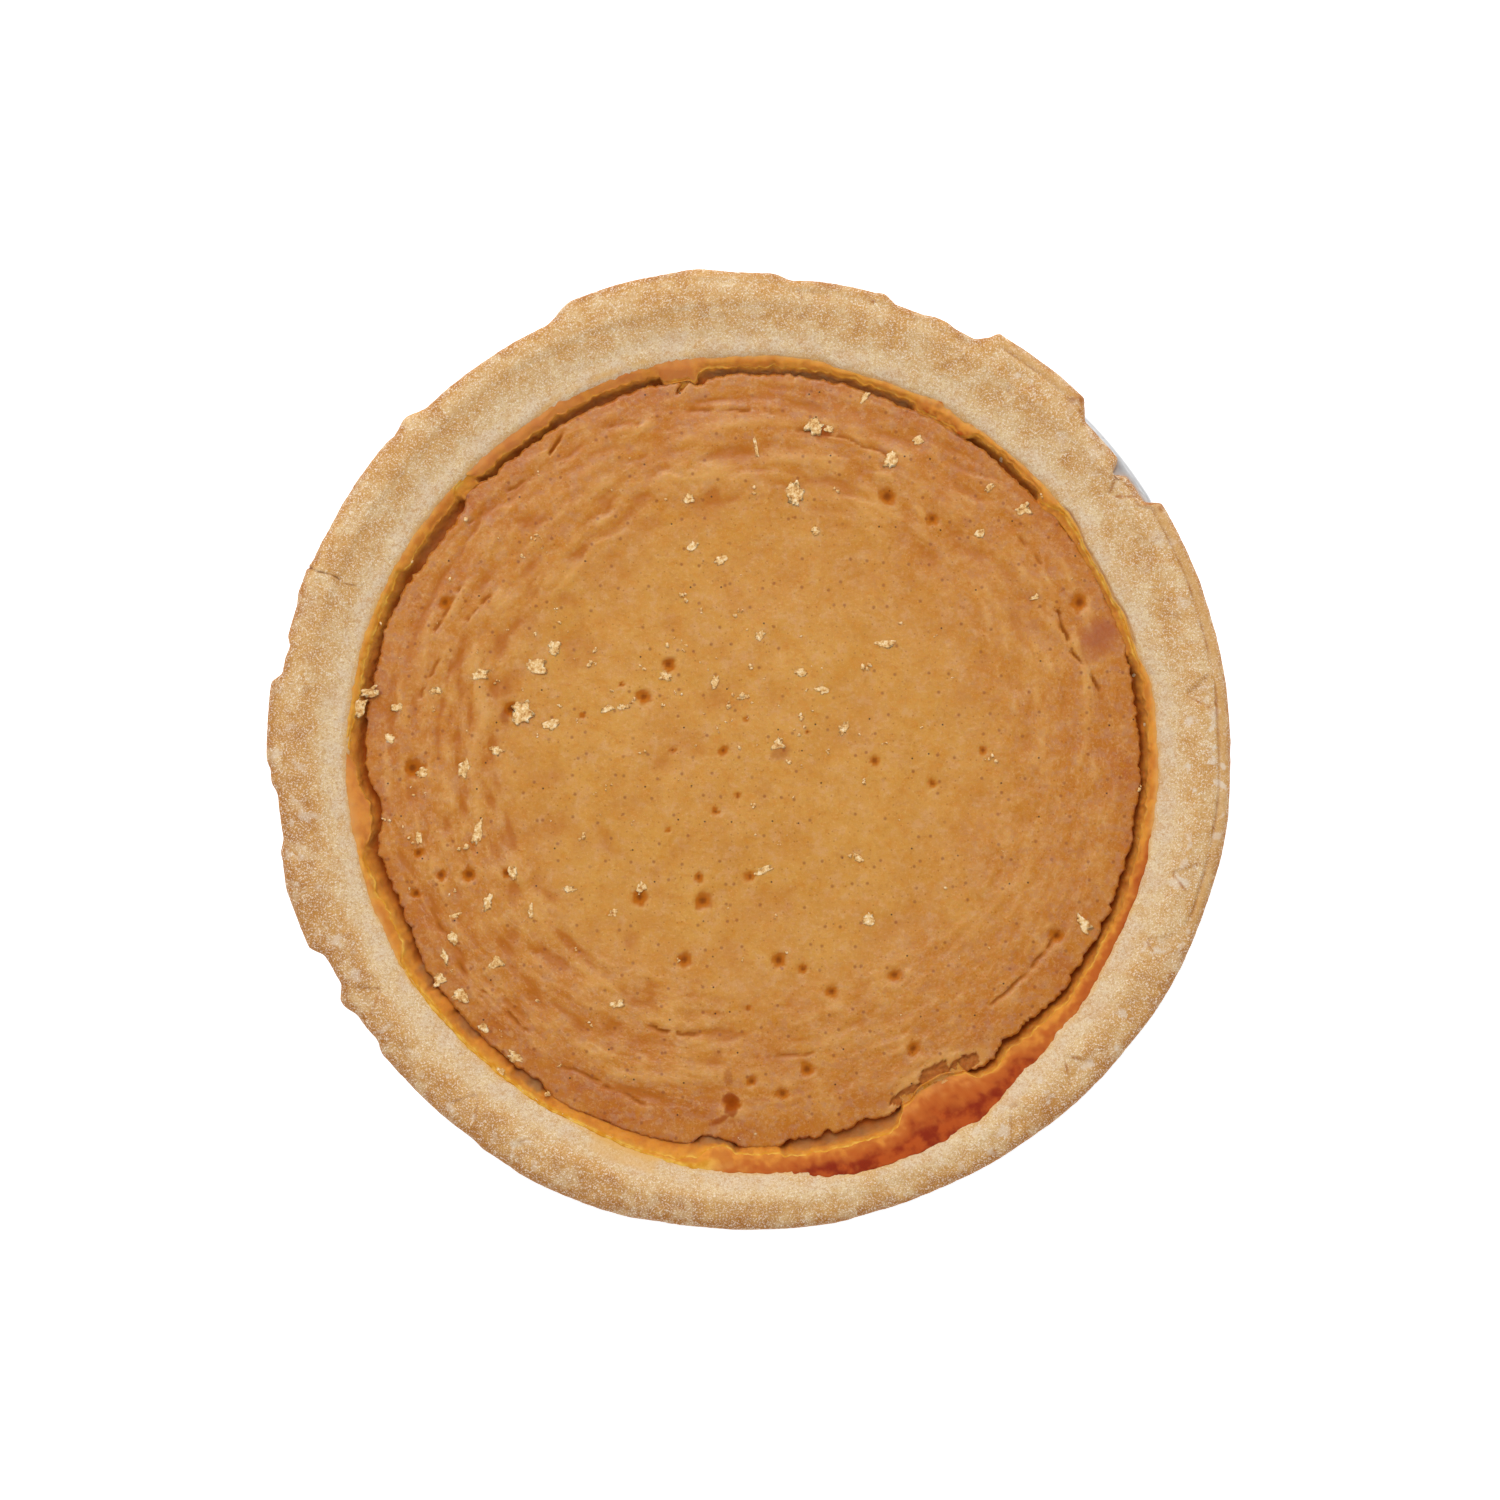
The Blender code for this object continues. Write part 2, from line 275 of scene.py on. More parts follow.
# Red-brown stains on the skin: x, y, half length, half width, turn, strength.
STAINS = (
    (-4.5, -86.4, 3.4, 2.0, 95, 1.0), (-7.5, -90.5, 3.0, 1.0, 25, 0.8),
    (-5.3, -80.2, 2.6, 1.2, 90, 0.5), (1.6, -85.6, 3.6, 1.0, 5, 0.35),
    (17.0, 78.0, 3.0, 2.2, -20, 0.7), (7.4, -0.6, 3.0, 2.6, 80, 0.5), (3.5, -10.0, 2.6, 3.4, 0, 0.3),
    (-20.0, 22.0, 2.4, 1.2, 20, 0.5), (-60.0, 8.0, 2.2, 1.4, 100, 0.6),
)
# Crust flakes on the custard: x, y, length, width, turn.
FLAKES = (
    (16, 79, 3.6, 3.2, 20), (19.5, 78.5, 1.6, 1.4, 0), (34.5, 71, 4.4, 2.2, 60),
    (11, 62, 5.4, 3.2, 100), (-15, 61.5, 2.5, 1.8, 5), (1.5, 74, 4.0, 0.8, 100),
    (41, 75.5, 2.0, 1.8, 0), (-14, 50, 2.0, 1.6, 30), (-7, 46.5, 2.6, 1.5, 25),
    (16, 53.5, 1.8, 1.6, 0), (56, 53, 2.0, 1.7, 0), (33, 26, 4.4, 1.4, 2), (28, 86, 2.6, 1.2, 60),
    (58.5, 64, 2.5, 1.1, 30), (67, 59, 3.2, 2.6, 10), (70, 37.5, 2.2, 1.2, 15),
    (81.5, -42.5, 4.4, 2.0, -55), (-53, 21, 4.8, 2.4, -10), (-66, 18.5, 4.0, 2.0, 5),
    (-48, 25, 2.6, 2.2, 70), (-56, 9, 4.6, 3.6, 110), (-48.5, 6, 3.2, 2.0, 25),
    (-35, 10, 2.9, 1.4, 10), (-31, 10.5, 2.0, 1.4, 0), (-62, 0, 2.7, 1.4, -5),
    (-70, -5, 3.4, 2.0, 75), (-76.5, 14.5, 2.4, 1.8, 0), (-86, 10.5, 2.6, 1.7, 0),
    (-88, 3, 2.0, 1.6, 0), (-93.5, 14, 4.2, 2.0, 25), (-95.5, 10, 4.0, 2.0, 65),
    (-80, -5.5, 2.8, 1.8, 10), (-66.5, -20, 5.0, 1.8, 78), (-81, -21.5, 3.2, 1.1, 100),
    (-58, -30, 2.9, 1.6, 95), (-64, -37.5, 3.4, 1.7, 75), (-72, -40.5, 2.4, 1.0, 25),
    (-72.5, -46, 2.2, 1.6, 95), (-53.5, -39.5, 2.9, 1.1, 95), (-44, -34, 2.4, 1.5, 0),
    (-33.5, -40, 1.8, 1.4, 30), (-74.5, -50.5, 2.9, 1.3, 110), (-62, -52, 2.9, 2.2, 20),
    (-76, -56.5, 2.8, 2.3, 0), (-71, -60, 3.0, 2.6, 0), (-26.5, -33.5, 2.0, 1.8, 0),
    (-57.5, -75, 3.6, 2.2, -30), (-65, -68, 2.2, 1.5, -20), (-61, -78.5, 1.7, 1.6, 0),
    (-32.5, -62, 2.6, 1.6, 30), (-20.5, 18, 2.4, 1.8, -10), (2.5, 28, 2.0, 1.6, 50),
    (12.5, 19, 2.2, 1.8, 0), (17.5, 14.5, 2.5, 1.5, -20), (23, 5.5, 2.9, 1.3, 75),
    (7, 1.5, 3.0, 2.6, 0), (3.5, -29.5, 2.9, 1.3, 10), (29, -41.5, 2.4, 2.0, 60),
    (26.5, -26.5, 2.0, 1.3, -50), (-1.5, 13, 2.5, 1.0, 15), (-8.5, 17, 2.2, 1.4, 70),
)
# Fine creases in the skin: from, to (degrees), radius at each end, depth.
CREASES = (
    (248.5, 260.5, 71.6, 71.0, 0.6), (18.5, 25.0, 81.8, 82.6, 0.8), (7.5, 17.8, 86.6, 82.2, 0.7),
    (32.0, 39.0, 84.5, 83.0, 0.4), (120.0, 124.5, 90.0, 86.8, 0.7), (128.0, 133.5, 85.5, 87.0, 0.45),
    (108.0, 114.0, 84.0, 86.0, 0.35), (138.0, 141.5, 87.6, 88.0, 0.35), (206.0, 212.0, 86.5, 87.0, 0.4),
    (215.0, 233.0, 87.8, 87.0, 0.45), (222.0, 227.5, 89.0, 89.2, 0.35), (238.5, 246.0, 89.8, 88.4, 0.45),
    (246.0, 254.0, 88.6, 90.0, 0.45), (312.0, 331.0, 85.5, 87.6, 0.5), (62.0, 84.0, 80.0, 78.6, 0.4),
    (85.0, 101.0, 82.6, 84.0, 0.45), (150.0, 160.0, 80.6, 82.0, 0.45), (163.0, 172.0, 79.0, 81.5, 0.35),
    (148.0, 156.0, 73.0, 76.0, 0.4), (270.0, 283.0, 74.5, 75.5, 0.35), (98.4, 101.8, 92.4, 88.4, 1.5),
)
# Skin torn off beside the crack: angle, radius, half length, half width.
TEARS = (
    (295.3, 93.0, 5.6, 2.1), (299.6, 91.4, 4.2, 2.5), (303.6, 93.2, 5.0, 2.0),
)

CRUST_STEPS = 1280
LIP_STEPS = 1400
DISC_CELLS = 298
TIN_STEPS = TIN_PLEATS * 14
HAIRLINE = 157.5           # the rim's one split, in degrees


# --- arithmetic shared by the surfaces ------------------------------------------------

def smooth(t):
    """Ease from 0 to 1."""
    t = np.clip(t, 0.0, 1.0)
    return t * t * (3.0 - 2.0 * t)


def dents(angle, table):
    """Sum of a table's flat-topped departures at each angle."""
    total = np.zeros_like(angle)
    for start, end, amount, ramp in table:
        away = np.abs((angle - 0.5 * (start + end) + 180.0) % 360.0 - 180.0)
        total += amount * smooth(1.0 - (away - 0.5 * (end - start)) / ramp)
    return total


def off_centre(radius, shift, angle):
    """Radius from the origin of a circle whose centre is shifted."""
    turn = np.radians(angle)
    along = shift[0] * np.cos(turn) + shift[1] * np.sin(turn)
    across = shift[1] * np.cos(turn) - shift[0] * np.sin(turn)
    return along + np.sqrt(radius * radius - across * across)


SLOPES = np.random.RandomState(7).normal(size=(256, 3))
SLOPES /= np.linalg.norm(SLOPES, axis=1)[:, None]


def noise(points, cell, seed=0):
    """Gradient noise in about -1 to 1; the cell is its grain in the points' unit."""
    scaled = points / cell + seed * 17.31
    base = np.floor(scaled).astype(np.int64)
    part = scaled - base
    fade = part ** 3 * (part * (part * 6.0 - 15.0) + 10.0)
    total = np.zeros(len(points))
    for corner in np.ndindex(2, 2, 2):
        spot = base + corner
        key = spot[:, 0] * 73856093 ^ spot[:, 1] * 19349663 ^ spot[:, 2] * 83492791
        slope = SLOPES[(key ^ key >> 11) & 255]
        weight = np.prod(np.where(corner, fade, 1.0 - fade), axis=1)
        total += weight * np.einsum("ij,ij->i", part - corner, slope)
    return 1.6 * total


def rough(points, cell, seed=0, octaves=3, gain=0.5):
    """Several sizes of noise added up."""
    return sum(gain ** k * noise(points, cell / 2.0 ** k, seed + 5 * k) for k in range(octaves))


def polar_points(angle, radius, arc, across):
    """Points whose noise is stretched along the circumference."""
    turn = np.radians(angle)
    ring = 85.0 / arc
    return np.stack([np.cos(turn) * ring, np.sin(turn) * ring, radius / across], axis=1)


def edge_radius(angle):
    return CRUST_EDGE_R + dents(angle, EDGE_DENTS)


def foot_radius(angle):
    return off_centre(FILL_EDGE_R, FILL_SHIFT, angle) + dents(angle, FOOT_DENTS)


def meet_radius(angle):
    return foot_radius(angle) + dents(angle, OVERRUNS)


def crest_lift(angle):
    return sum(height * np.sin(np.radians(count * angle + phase))
               for count, phase, height in CREST_WAVES)


def tin_wall_radius(z):
    low_r = TIN_BASE_R + TIN_CORNER * 0.5 - TIN_FOIL
    return low_r + (z - TIN_CORNER) / (TIN_HEIGHT - 1.8 - TIN_CORNER) * (TIN_WALL_TOP_R - low_r)


def crust_inside_radius(angle, z):
    low_z = TIN_FOIL + GAP + CRUST_BASE + 2.6
    low_r = tin_wall_radius(low_z) - TIN_PLEAT_DEPTH - GAP - CRUST_WALL
    share = (z - low_z) / (CRUST_SLOPE_FOOT - low_z)
    return low_r + share * (foot_radius(angle) - low_r)


def slope_height(angle, radius):
    foot_r = foot_radius(angle)
    share = (radius - foot_r) / (CRUST_SLOPE_TOP_R - foot_r)
    return CRUST_SLOPE_FOOT + share * (CRUST_SLOPE_TOP - CRUST_SLOPE_FOOT)


def arc_points(angle):
    """Points on a circle, for noise that runs round the pie."""
    turn = np.radians(angle)
    return np.stack([95.0 * np.cos(turn), 95.0 * np.sin(turn), np.zeros_like(turn)], axis=1)


def disc_edge(angle, torn=1.0):
    """Outer edge of the custard disc, with its fine tear or without."""
    arc = arc_points(angle)
    tear = 0.5 * noise(arc, 8.0, 3) + 0.42 * noise(arc, 2.4, 4) + 0.36 * noise(arc, 1.0, 5)
    tear *= 1.0 + dents(angle, COARSE_PARTS)
    return off_centre(DISC_R, DISC_SHIFT, angle) + dents(angle, DISC_DENTS) + torn * tear


def gap_width(angle):
    return np.maximum(0.0, GAP_MEAN + dents(angle, GAP_DENTS))


# --- meshes -----------------------------------------------------------------------------

def tube(stations, steps, capped):
    """A sheet rolled into a straight tube whose height is the station number."""
    bm = bmesh.new()
    bmesh.ops.create_grid(bm, x_segments=steps, y_segments=stations - 1, size=1.0)
    for vert in bm.verts:
        turn = (vert.co.x + 1.0) * math.pi
        height = (vert.co.y + 1.0) * 0.5 * (stations - 1)
        vert.co = (math.cos(turn), math.sin(turn), height)
    bmesh.ops.remove_doubles(bm, verts=bm.verts, dist=1e-4)
    if capped:
        bmesh.ops.holes_fill(bm, edges=[edge for edge in bm.edges if edge.is_boundary])
    return bm


def to_object(bm, name):
    """Mesh object from a bmesh, at the origin."""
    mesh = bpy.data.meshes.new(name)
    bm.to_mesh(mesh)
    bm.free()
    piece = bpy.data.objects.new(name, mesh)
    bpy.context.scene.collection.objects.link(piece)
    return piece


def places(mesh):
    """Vertex positions as an array."""
    flat = np.empty(len(mesh.vertices) * 3)
    mesh.vertices.foreach_get("co", flat)
    return flat.reshape(-1, 3)


def place(mesh, points):
    mesh.vertices.foreach_set("co", points.ravel())
    mesh.update()


def normals(mesh):
    flat = np.empty(len(mesh.vertices) * 3)
    mesh.vertex_normals.foreach_get("vector", flat)
    return flat.reshape(-1, 3)


def paint(mesh, **fields):
    """Store number fields on the vertices for the materials to read."""
    for name, values in fields.items():
        layer = mesh.attributes.new(name, "FLOAT", "POINT")
        layer.data.foreach_set("value", np.asarray(values, np.float32))


def weld(piece, distance=1e-6):
    """Merge the seam of a piece and turn its faces outwards."""
    bm = bmesh.new()
    bm.from_mesh(piece.data)
    bmesh.ops.remove_doubles(bm, verts=bm.verts, dist=distance)
    bmesh.ops.recalc_face_normals(bm, faces=bm.faces)
    if bm.calc_volume(signed=True) < 0.0:
        bmesh.ops.reverse_faces(bm, faces=bm.faces)
    bm.to_mesh(piece.data)
    bm.free()
    piece.data.shade_smooth()


def spread(pairs):
    """Station numbers from (from, to, count) runs along a section."""
    runs = [np.linspace(start, end, count, endpoint=False) for start, end, count in pairs]
    return np.concatenate(runs + [np.array([float(pairs[-1][1])])])


def section_curve(rings, along):
    """Smooth curve through a section's rings at each vertex: rings are (radius, height)."""
    last = len(rings) - 1
    table = np.array([np.stack(ring) for ring in rings])
    base = np.clip(np.floor(along).astype(int), 0, last - 1)
    part = (along - base)[:, None]
    pick = np.arange(len(along))
    p0, p1, p2, p3 = (table[np.clip(base + k, 0, last), :, pick] for k in (-1, 0, 1, 2))

    def tangent(before, at, after):
        """Direction past a ring, no longer than the shorter side of it."""
        sides = [np.linalg.norm(at - before, axis=1), np.linalg.norm(after - at, axis=1)]
        reach = np.linalg.norm(after - before, axis=1) + 1e-9
        return (after - before) * (np.minimum(*sides) / reach)[:, None]

    t2, t3 = part ** 2, part ** 3
    return ((2.0 * t3 - 3.0 * t2 + 1.0) * p1 + (t3 - 2.0 * t2 + part) * tangent(p0, p1, p2)
            + (3.0 * t2 - 2.0 * t3) * p2 + (t3 - t2) * tangent(p1, p2, p3))


def swept(name, stations, steps, rings_at, capped, crowd=None):
    """A turned piece whose section changes round the pie; returns it with its fields."""
    piece = to_object(tube(len(stations), steps, capped), name)
    spots = places(piece.data)
    angle = np.degrees(np.arctan2(spots[:, 1], spots[:, 0])) % 360.0
    if crowd is not None:
        angle = crowd(angle)
    along = stations[np.round(spots[:, 2]).astype(int)]
    section = section_curve(rings_at(angle), along)
    turn = np.radians(angle)
    spots = np.stack([section[:, 0] * np.cos(turn), section[:, 0] * np.sin(turn),
                      section[:, 1]], axis=1)
    place(piece.data, spots * MM)
    return piece, angle, along, spots


def push_out(mesh, amount_mm):
    """Move each vertex along its normal, and keep it in the frame's box."""
    spots = places(mesh) + normals(mesh) * (np.asarray(amount_mm) * MM)[:, None]
    place(mesh, np.clip(spots, np.array(CAD_LOW), np.array(CAD_HIGH)))


# --- node helper ------------------------------------------------------------------------

def add(tree, kind, inputs=None, stops=None, **options):
    """Add a node with its options, its inputs (values or sockets) and its ramp stops."""
    made = tree.nodes.new(kind)
    for key, value in options.items():
        setattr(made, key, value)
    for key, value in (inputs or {}).items():
        if isinstance(value, bpy.types.NodeSocket):
            tree.links.new(value, made.inputs[key])
        else:
            made.inputs[key].default_value = value
    if stops:
        elements = made.color_ramp.elements
        while len(elements) < len(stops):
            elements.new(0.5)
        for element, (spot, colour) in zip(elements, stops):
            element.position = spot
            element.color = linear(colour)
    return made


def new_material(name):
    """Empty node material with its output and Principled shader."""
    material = bpy.data.materials.new(name)
    material.use_nodes = True
    tree = material.node_tree
    tree.nodes.clear()
    output = tree.nodes.new("ShaderNodeOutputMaterial")
    shader = tree.nodes.new("ShaderNodeBsdfPrincipled")
    tree.links.new(shader.outputs["BSDF"], output.inputs["Surface"])
    coords = tree.nodes.new("ShaderNodeTexCoord")
    return material, tree, shader, coords.outputs["Object"]


def per_metre(size_mm):
    """Noise scale for a grain of that size."""
    return 1.0 / (size_mm * MM)


# --- materials --------------------------------------------------------------------------

def mixing_kit(tree, spot):
    """Short names for the nodes the food materials are mixed from."""
    def field(name):
        return add(tree, "ShaderNodeAttribute", attribute_name=name).outputs["Fac"]

    def blend(share, under, over):
        return add(tree, "ShaderNodeMix", {0: share, 6: under, 7: over},
                   data_type="RGBA").outputs[2]

    def grain(size_mm, detail=3.0, roughness=0.5, where=spot):
        made = add(tree, "ShaderNodeTexNoise",
                   {"Vector": where, "Scale": per_metre(size_mm), "Detail": detail,
                    "Roughness": roughness})
        return made.outputs["Fac"]

    def step(value, low, high, out_low=0.0, out_high=1.0):
        made = add(tree, "ShaderNodeMapRange",
                   {"Value": value, "From Min": low, "From Max": high, "To Min": out_low,
                    "To Max": out_high}, interpolation_type="SMOOTHSTEP")
        return made.outputs["Result"]

    def times(one, other):
        return add(tree, "ShaderNodeMath", {0: one, 1: other}, operation="MULTIPLY").outputs[0]

    def dots(apart_mm, low, high, share):
        """Round specks seen from above, a share of the cells holding one each."""
        cells = add(tree, "ShaderNodeTexVoronoi", {"Vector": spot, "Scale": per_metre(apart_mm)},
                    voronoi_dimensions="2D")
        chosen = step(cells.outputs["Color"], 1.0 - share, 1.06 - share)
        return times(step(cells.outputs["Distance"], high, low), chosen)

    return field, blend, grain, step, times, dots


def baked_custard(settings):
    """Baked pumpkin custard: a satin skin, browner at its edge, with ground spice in it.

    Smooth egg custard skins over as it bakes, so it is satin and not wet; it is
    yellow where it has torn and red-brown where it has burnt.
    """
    material, tree, shader, spot = new_material("baked_pumpkin_custard")
    field, blend, grain, step, times, dots = mixing_kit(tree, spot)

    def turn(kind, inputs, output=0):
        return add(tree, "ShaderNodeVectorMath", inputs, operation=kind).outputs[output]

    flat = turn("MULTIPLY", {0: spot, 1: (1.0, 1.0, 0.0)})
    round_way = turn("SCALE", {0: turn("NORMALIZE", {0: flat}), "Scale": 85.0 * MM})
    outward = add(tree, "ShaderNodeCombineXYZ", {"Z": times(turn("LENGTH", {0: flat}, "Value"), 2.2)})
    streaks = turn("ADD", {0: round_way, 1: outward.outputs[0]})

    colour = blend(field("warm"), tuple(settings.custard_colour), tuple(settings.edge_colour))
    colour = blend(times(field("blush"), 0.85), colour, linear("#A9591E"))
    colour = blend(step(grain(9.0), 0.35, 0.7, 0.0, 0.35), colour, linear("#D59E4B"))
    mottle = grain(3.2, 5.0, 0.65)
    colour = blend(step(mottle, 0.5, 0.68, 0.0, 0.55), colour, linear("#C57E1E"))
    pale = times(step(mottle, 0.5, 0.34, 0.0, 0.5), step(field("warm"), 0.5, 1.0, 1.0, 0.3))
    colour = blend(pale, colour, linear("#CE9B66"))
    colour = blend(step(grain(1.1, 5.0, 0.7), 0.5, 0.66, 0.0, 0.35), colour, linear("#AE6C28"))
    cells = grain(1.7, 5.0, 0.7)
    colour = blend(times(step(cells, 0.5, 0.66, 0.0, 0.6), field("warm")), colour, linear("#BA690C"))
    colour = blend(times(step(cells, 0.5, 0.36, 0.0, 0.4), field("warm")), colour, linear("#D3A067"))
    tint = grain(2.6, 4.0, 0.7)
    colour = blend(times(step(tint, 0.5, 0.62, 0.0, 0.6), field("warm")), colour, linear("#B86E12"))
    colour = blend(times(step(tint, 0.5, 0.38, 0.0, 0.5), field("warm")), colour, linear("#B07856"))
    colour = blend(step(grain(0.7, 4.0, 0.7), 0.54, 0.68, 0.0, 0.25), colour, linear("#E4B778"))
    # Painted highlight: short pale dashes along the streaks stand in for glints on the small bumps.
    glint_dashes = times(step(grain(1.5, 2.0, 0.5, streaks), 0.56, 0.68, 0.0, 0.3), field("streaky"))
    colour = blend(glint_dashes, colour, linear("#D9A878"))
    # Painted shade: the skin's hollows, found from its height, are painted darker orange.
    colour = blend(step(field("hollow_shade"), 0.0, 1.0, 0.0, 0.85), colour, linear("#AE6008"))
    # Painted highlight: the crests, which stand above their surroundings, are painted paler.
    colour = blend(step(field("ridge_highlight"), 0.0, 1.0, 0.0, 0.4), colour, linear("#DDAA62"))
    # Painted shade: the fine creases are painted dark brown along their depth.
    colour = blend(step(field("crease"), 0.15, 1.0, 0.0, 0.8), colour, linear("#83400F"))
    colour = blend(times(dots(2.2, 0.03, 0.14, 0.4), 0.5), colour, linear("#8E4A0C"))
    colour = blend(times(dots(5.2, 0.03, 0.12, 0.5), 0.6), colour, linear("#85431F"))
    colour = blend(times(dots(8.0, 0.015, 0.04, 0.35), 0.9), colour, linear("#2A1404"))
    # Steam pits: orange-brown round the bowl, its own colour, and darkest at the bottom, which is painted shade.
    colour = blend(step(field("pit"), 0.03, 0.75, 0.0, 0.75), colour, linear("#B46218"))
    colour = blend(step(field("pit"), 0.5, 1.0, 0.0, 0.75), colour, linear("#74320A"))
    colour = blend(step(field("stain"), 0.05, 0.9, 0.0, 0.8), colour, linear("#944008"))
    colour = blend(field("blister"), colour, linear("#A65A33"))
    colour = blend(field("torn"), colour, blend(grain(1.0, 5.0), linear("#8C4212"), linear("#C88040")))
    orange = blend(step(grain(3.5, 4.0), 0.4, 0.65), linear("#D88F38"), linear("#C4772F"))
    colour = blend(field("lip"), colour, orange)
    colour = blend(times(field("thin"), 0.7), colour, linear("#DBA45F"))
    colour = blend(times(field("pink"), 0.6), colour, linear("#CC7F4B"))
    yellow = blend(step(grain(2.5, 4.0), 0.38, 0.65), linear("#CC8A22"), linear("#E4B652"))
    colour = blend(field("yellow"), colour, yellow)
    burnt = blend(step(grain(4.5, 4.0, 0.55), 0.38, 0.64), linear("#862608"), linear("#B04E18"))
    colour = blend(step(field("burn"), 0.0, 0.5), colour, linear("#B65E22"))
    colour = blend(step(field("burn"), 0.4, 1.0), colour, burnt)
    # Painted shade: dark red-brown down in the crack and in the hollows of the crumpled lip.
    colour = blend(field("deep"), colour, blend(grain(1.6, 4.0), linear("#93380A"), linear("#C2641E")))
    colour = blend(field("grey"), colour, blend(grain(2.0, 4.0), linear("#784824"), linear("#BC8A58")))
    tree.links.new(colour, shader.inputs["Base Color"])
    gloss = blend(step(grain(6.0), 0.35, 0.7), (0.3, 0.3, 0.3, 1.0), (0.44, 0.44, 0.44, 1.0))
    gloss = blend(field("dull"), gloss, (0.75, 0.75, 0.75, 1.0))
    tree.links.new(gloss, shader.inputs["Roughness"])
    shader.inputs["IOR"].default_value = 1.42
    tree.links.new(step(field("dull"), 0.0, 1.0, 0.4, 0.03), shader.inputs["Specular IOR Level"])
    shader.inputs["Subsurface Weight"].default_value = 0.3
    shader.inputs["Subsurface Radius"].default_value = (1.0, 0.4, 0.1)
    shader.inputs["Subsurface Scale"].default_value = 1.5 * MM
    pulled = times(grain(2.2, 3.0, 0.5, streaks), field("streaky"))
    broad = add(tree, "ShaderNodeBump", {"Height": pulled, "Strength": 1.0, "Distance": 0.14 * MM})
    fine = add(tree, "ShaderNodeBump", {"Height": grain(1.1, 5.0, 0.6), "Strength": 0.5,
                                        "Distance": 0.22 * MM, "Normal": broad.outputs["Normal"]})
    tree.links.new(fine.outputs["Normal"], shader.inputs["Normal"])
    return material


def shortcrust(settings):
    """Shortcrust pastry, rolled and baked: dry, sandy, flour-dusted, brown at its edge."""
    material, tree, shader, spot = new_material("baked_shortcrust_pastry")
    field, blend, grain, step, times, dots = mixing_kit(tree, spot)
    tones = add(tree, "ShaderNodeValToRGB", {0: field("brown")},
                stops=[(0.0, "#DEC5A3"), (0.25, "#DDBD8B"), (0.6, "#D1A05C"), (1.0, "#AA6B24")])
    colour = tones.outputs["Color"]
    patch = grain(5.5, 5.0, 0.6)
    colour = blend(step(patch, 0.5, 0.66, 0.0, 0.5), colour, linear("#E8CFA2"))
    colour = blend(step(patch, 0.5, 0.36, 0.0, 0.4), colour, linear("#CC954E"))
    colour = blend(step(grain(1.6, 5.0, 0.75), 0.5, 0.66, 0.0, 0.4), colour, linear("#C98F46"))
    colour = blend(step(grain(0.7, 5.0, 0.85), 0.48, 0.6, 0.0, 0.55), colour, linear("#BB7C34"))
    sparkle = times(step(grain(0.42, 3.0, 0.8), 0.52, 0.62, 0.0, 0.75), step(field("brown"), 0.0, 0.4, 0.55, 1.0))
    colour = blend(sparkle, colour, linear("#FBEFDB"))
    colour = blend(times(field("rolled"), 0.6), colour, linear("#D2A263"))
    colour = blend(step(field("flour"), 0.1, 1.0, 0.0, 0.65), colour, linear("#E9DAC6"))
    # Real brown scorch spots near the edge, plus painted shade in the V marks' creases, in the roll's groove and
    # along the lip from 16 to 37 degrees.
    colour = blend(step(field("scorch"), 0.1, 1.0, 0.0, 0.8), colour, linear("#A25F22"))
    colour = blend(step(field("smear"), 0.05, 1.0, 0.0, 0.8), colour, linear("#DFAA58"))
    colour = blend(field("split"), colour, linear("#84480F"))
    tree.links.new(colour, shader.inputs["Base Color"])
    shader.inputs["Roughness"].default_value = 0.78
    shader.inputs["IOR"].default_value = 1.4
    sand = add(tree, "ShaderNodeBump", {"Height": grain(0.7, 5.0, 0.85), "Strength": 0.8,
                                        "Distance": 0.35 * MM})
    tree.links.new(sand.outputs["Normal"], shader.inputs["Normal"])
    return material


def pressed_foil(settings):
    """Aluminium foil, pressed into a tin: bright, with fine crinkles from the press; its wall and the grooves of
    its pleats are painted greyer, as shade.
    """
    material, tree, shader, spot = new_material("pressed_aluminium_foil")
    field, blend, grain, step, times, dots = mixing_kit(tree, spot)
    # Painted shade: the wall and the bead's outer side are painted grey, the pleats' grooves darker still; the
    # top of the rim keeps the bright foil.
    colour = blend(field("wall"), tuple(settings.foil_colour), linear("#A9ACB0"))
    colour = blend(times(field("groove"), 0.7), colour, linear("#6C6F74"))
    tree.links.new(colour, shader.inputs["Base Color"])
    shader.inputs["Metallic"].default_value = 1.0
    shade = add(tree, "ShaderNodeTexNoise", {"Vector": spot, "Scale": per_metre(6.0),
                                             "Detail": 4.0})
    gloss = add(tree, "ShaderNodeMapRange", {"Value": shade.outputs["Fac"], "To Min": 0.22,
                                             "To Max": 0.38})
    tree.links.new(gloss.outputs["Result"], shader.inputs["Roughness"])
    crinkle = add(tree, "ShaderNodeTexNoise", {"Vector": spot, "Scale": per_metre(3.5),
                                               "Detail": 5.0, "Distortion": 0.6})
    bump = add(tree, "ShaderNodeBump", {"Height": crinkle.outputs["Fac"], "Strength": 0.35,
                                        "Distance": 0.25 * MM})
    tree.links.new(bump.outputs["Normal"], shader.inputs["Normal"])
    return material


def pastry_crumb(settings):
    """Loose flakes of the same pastry: cream where they broke, golden on the baked side."""
    material, tree, shader, spot = new_material("dry_pastry_crumb")
    field, blend, grain, step, times, dots = mixing_kit(tree, spot)
    ramp = add(tree, "ShaderNodeValToRGB", {0: grain(0.9, 5.0, 0.7)},
               stops=[(0.38, "#B0722F"), (0.47, "#D9A861"), (0.56, "#E9C68E"), (0.68, "#F8E4C0")])
    tree.links.new(ramp.outputs["Color"], shader.inputs["Base Color"])
    shader.inputs["Roughness"].default_value = 0.6
    sand = add(tree, "ShaderNodeBump", {"Height": grain(0.6, 4.0, 0.7), "Strength": 0.6,
                                        "Distance": 0.2 * MM})
    tree.links.new(sand.outputs["Normal"], shader.inputs["Normal"])
    return material


# --- pieces -----------------------------------------------------------------------------

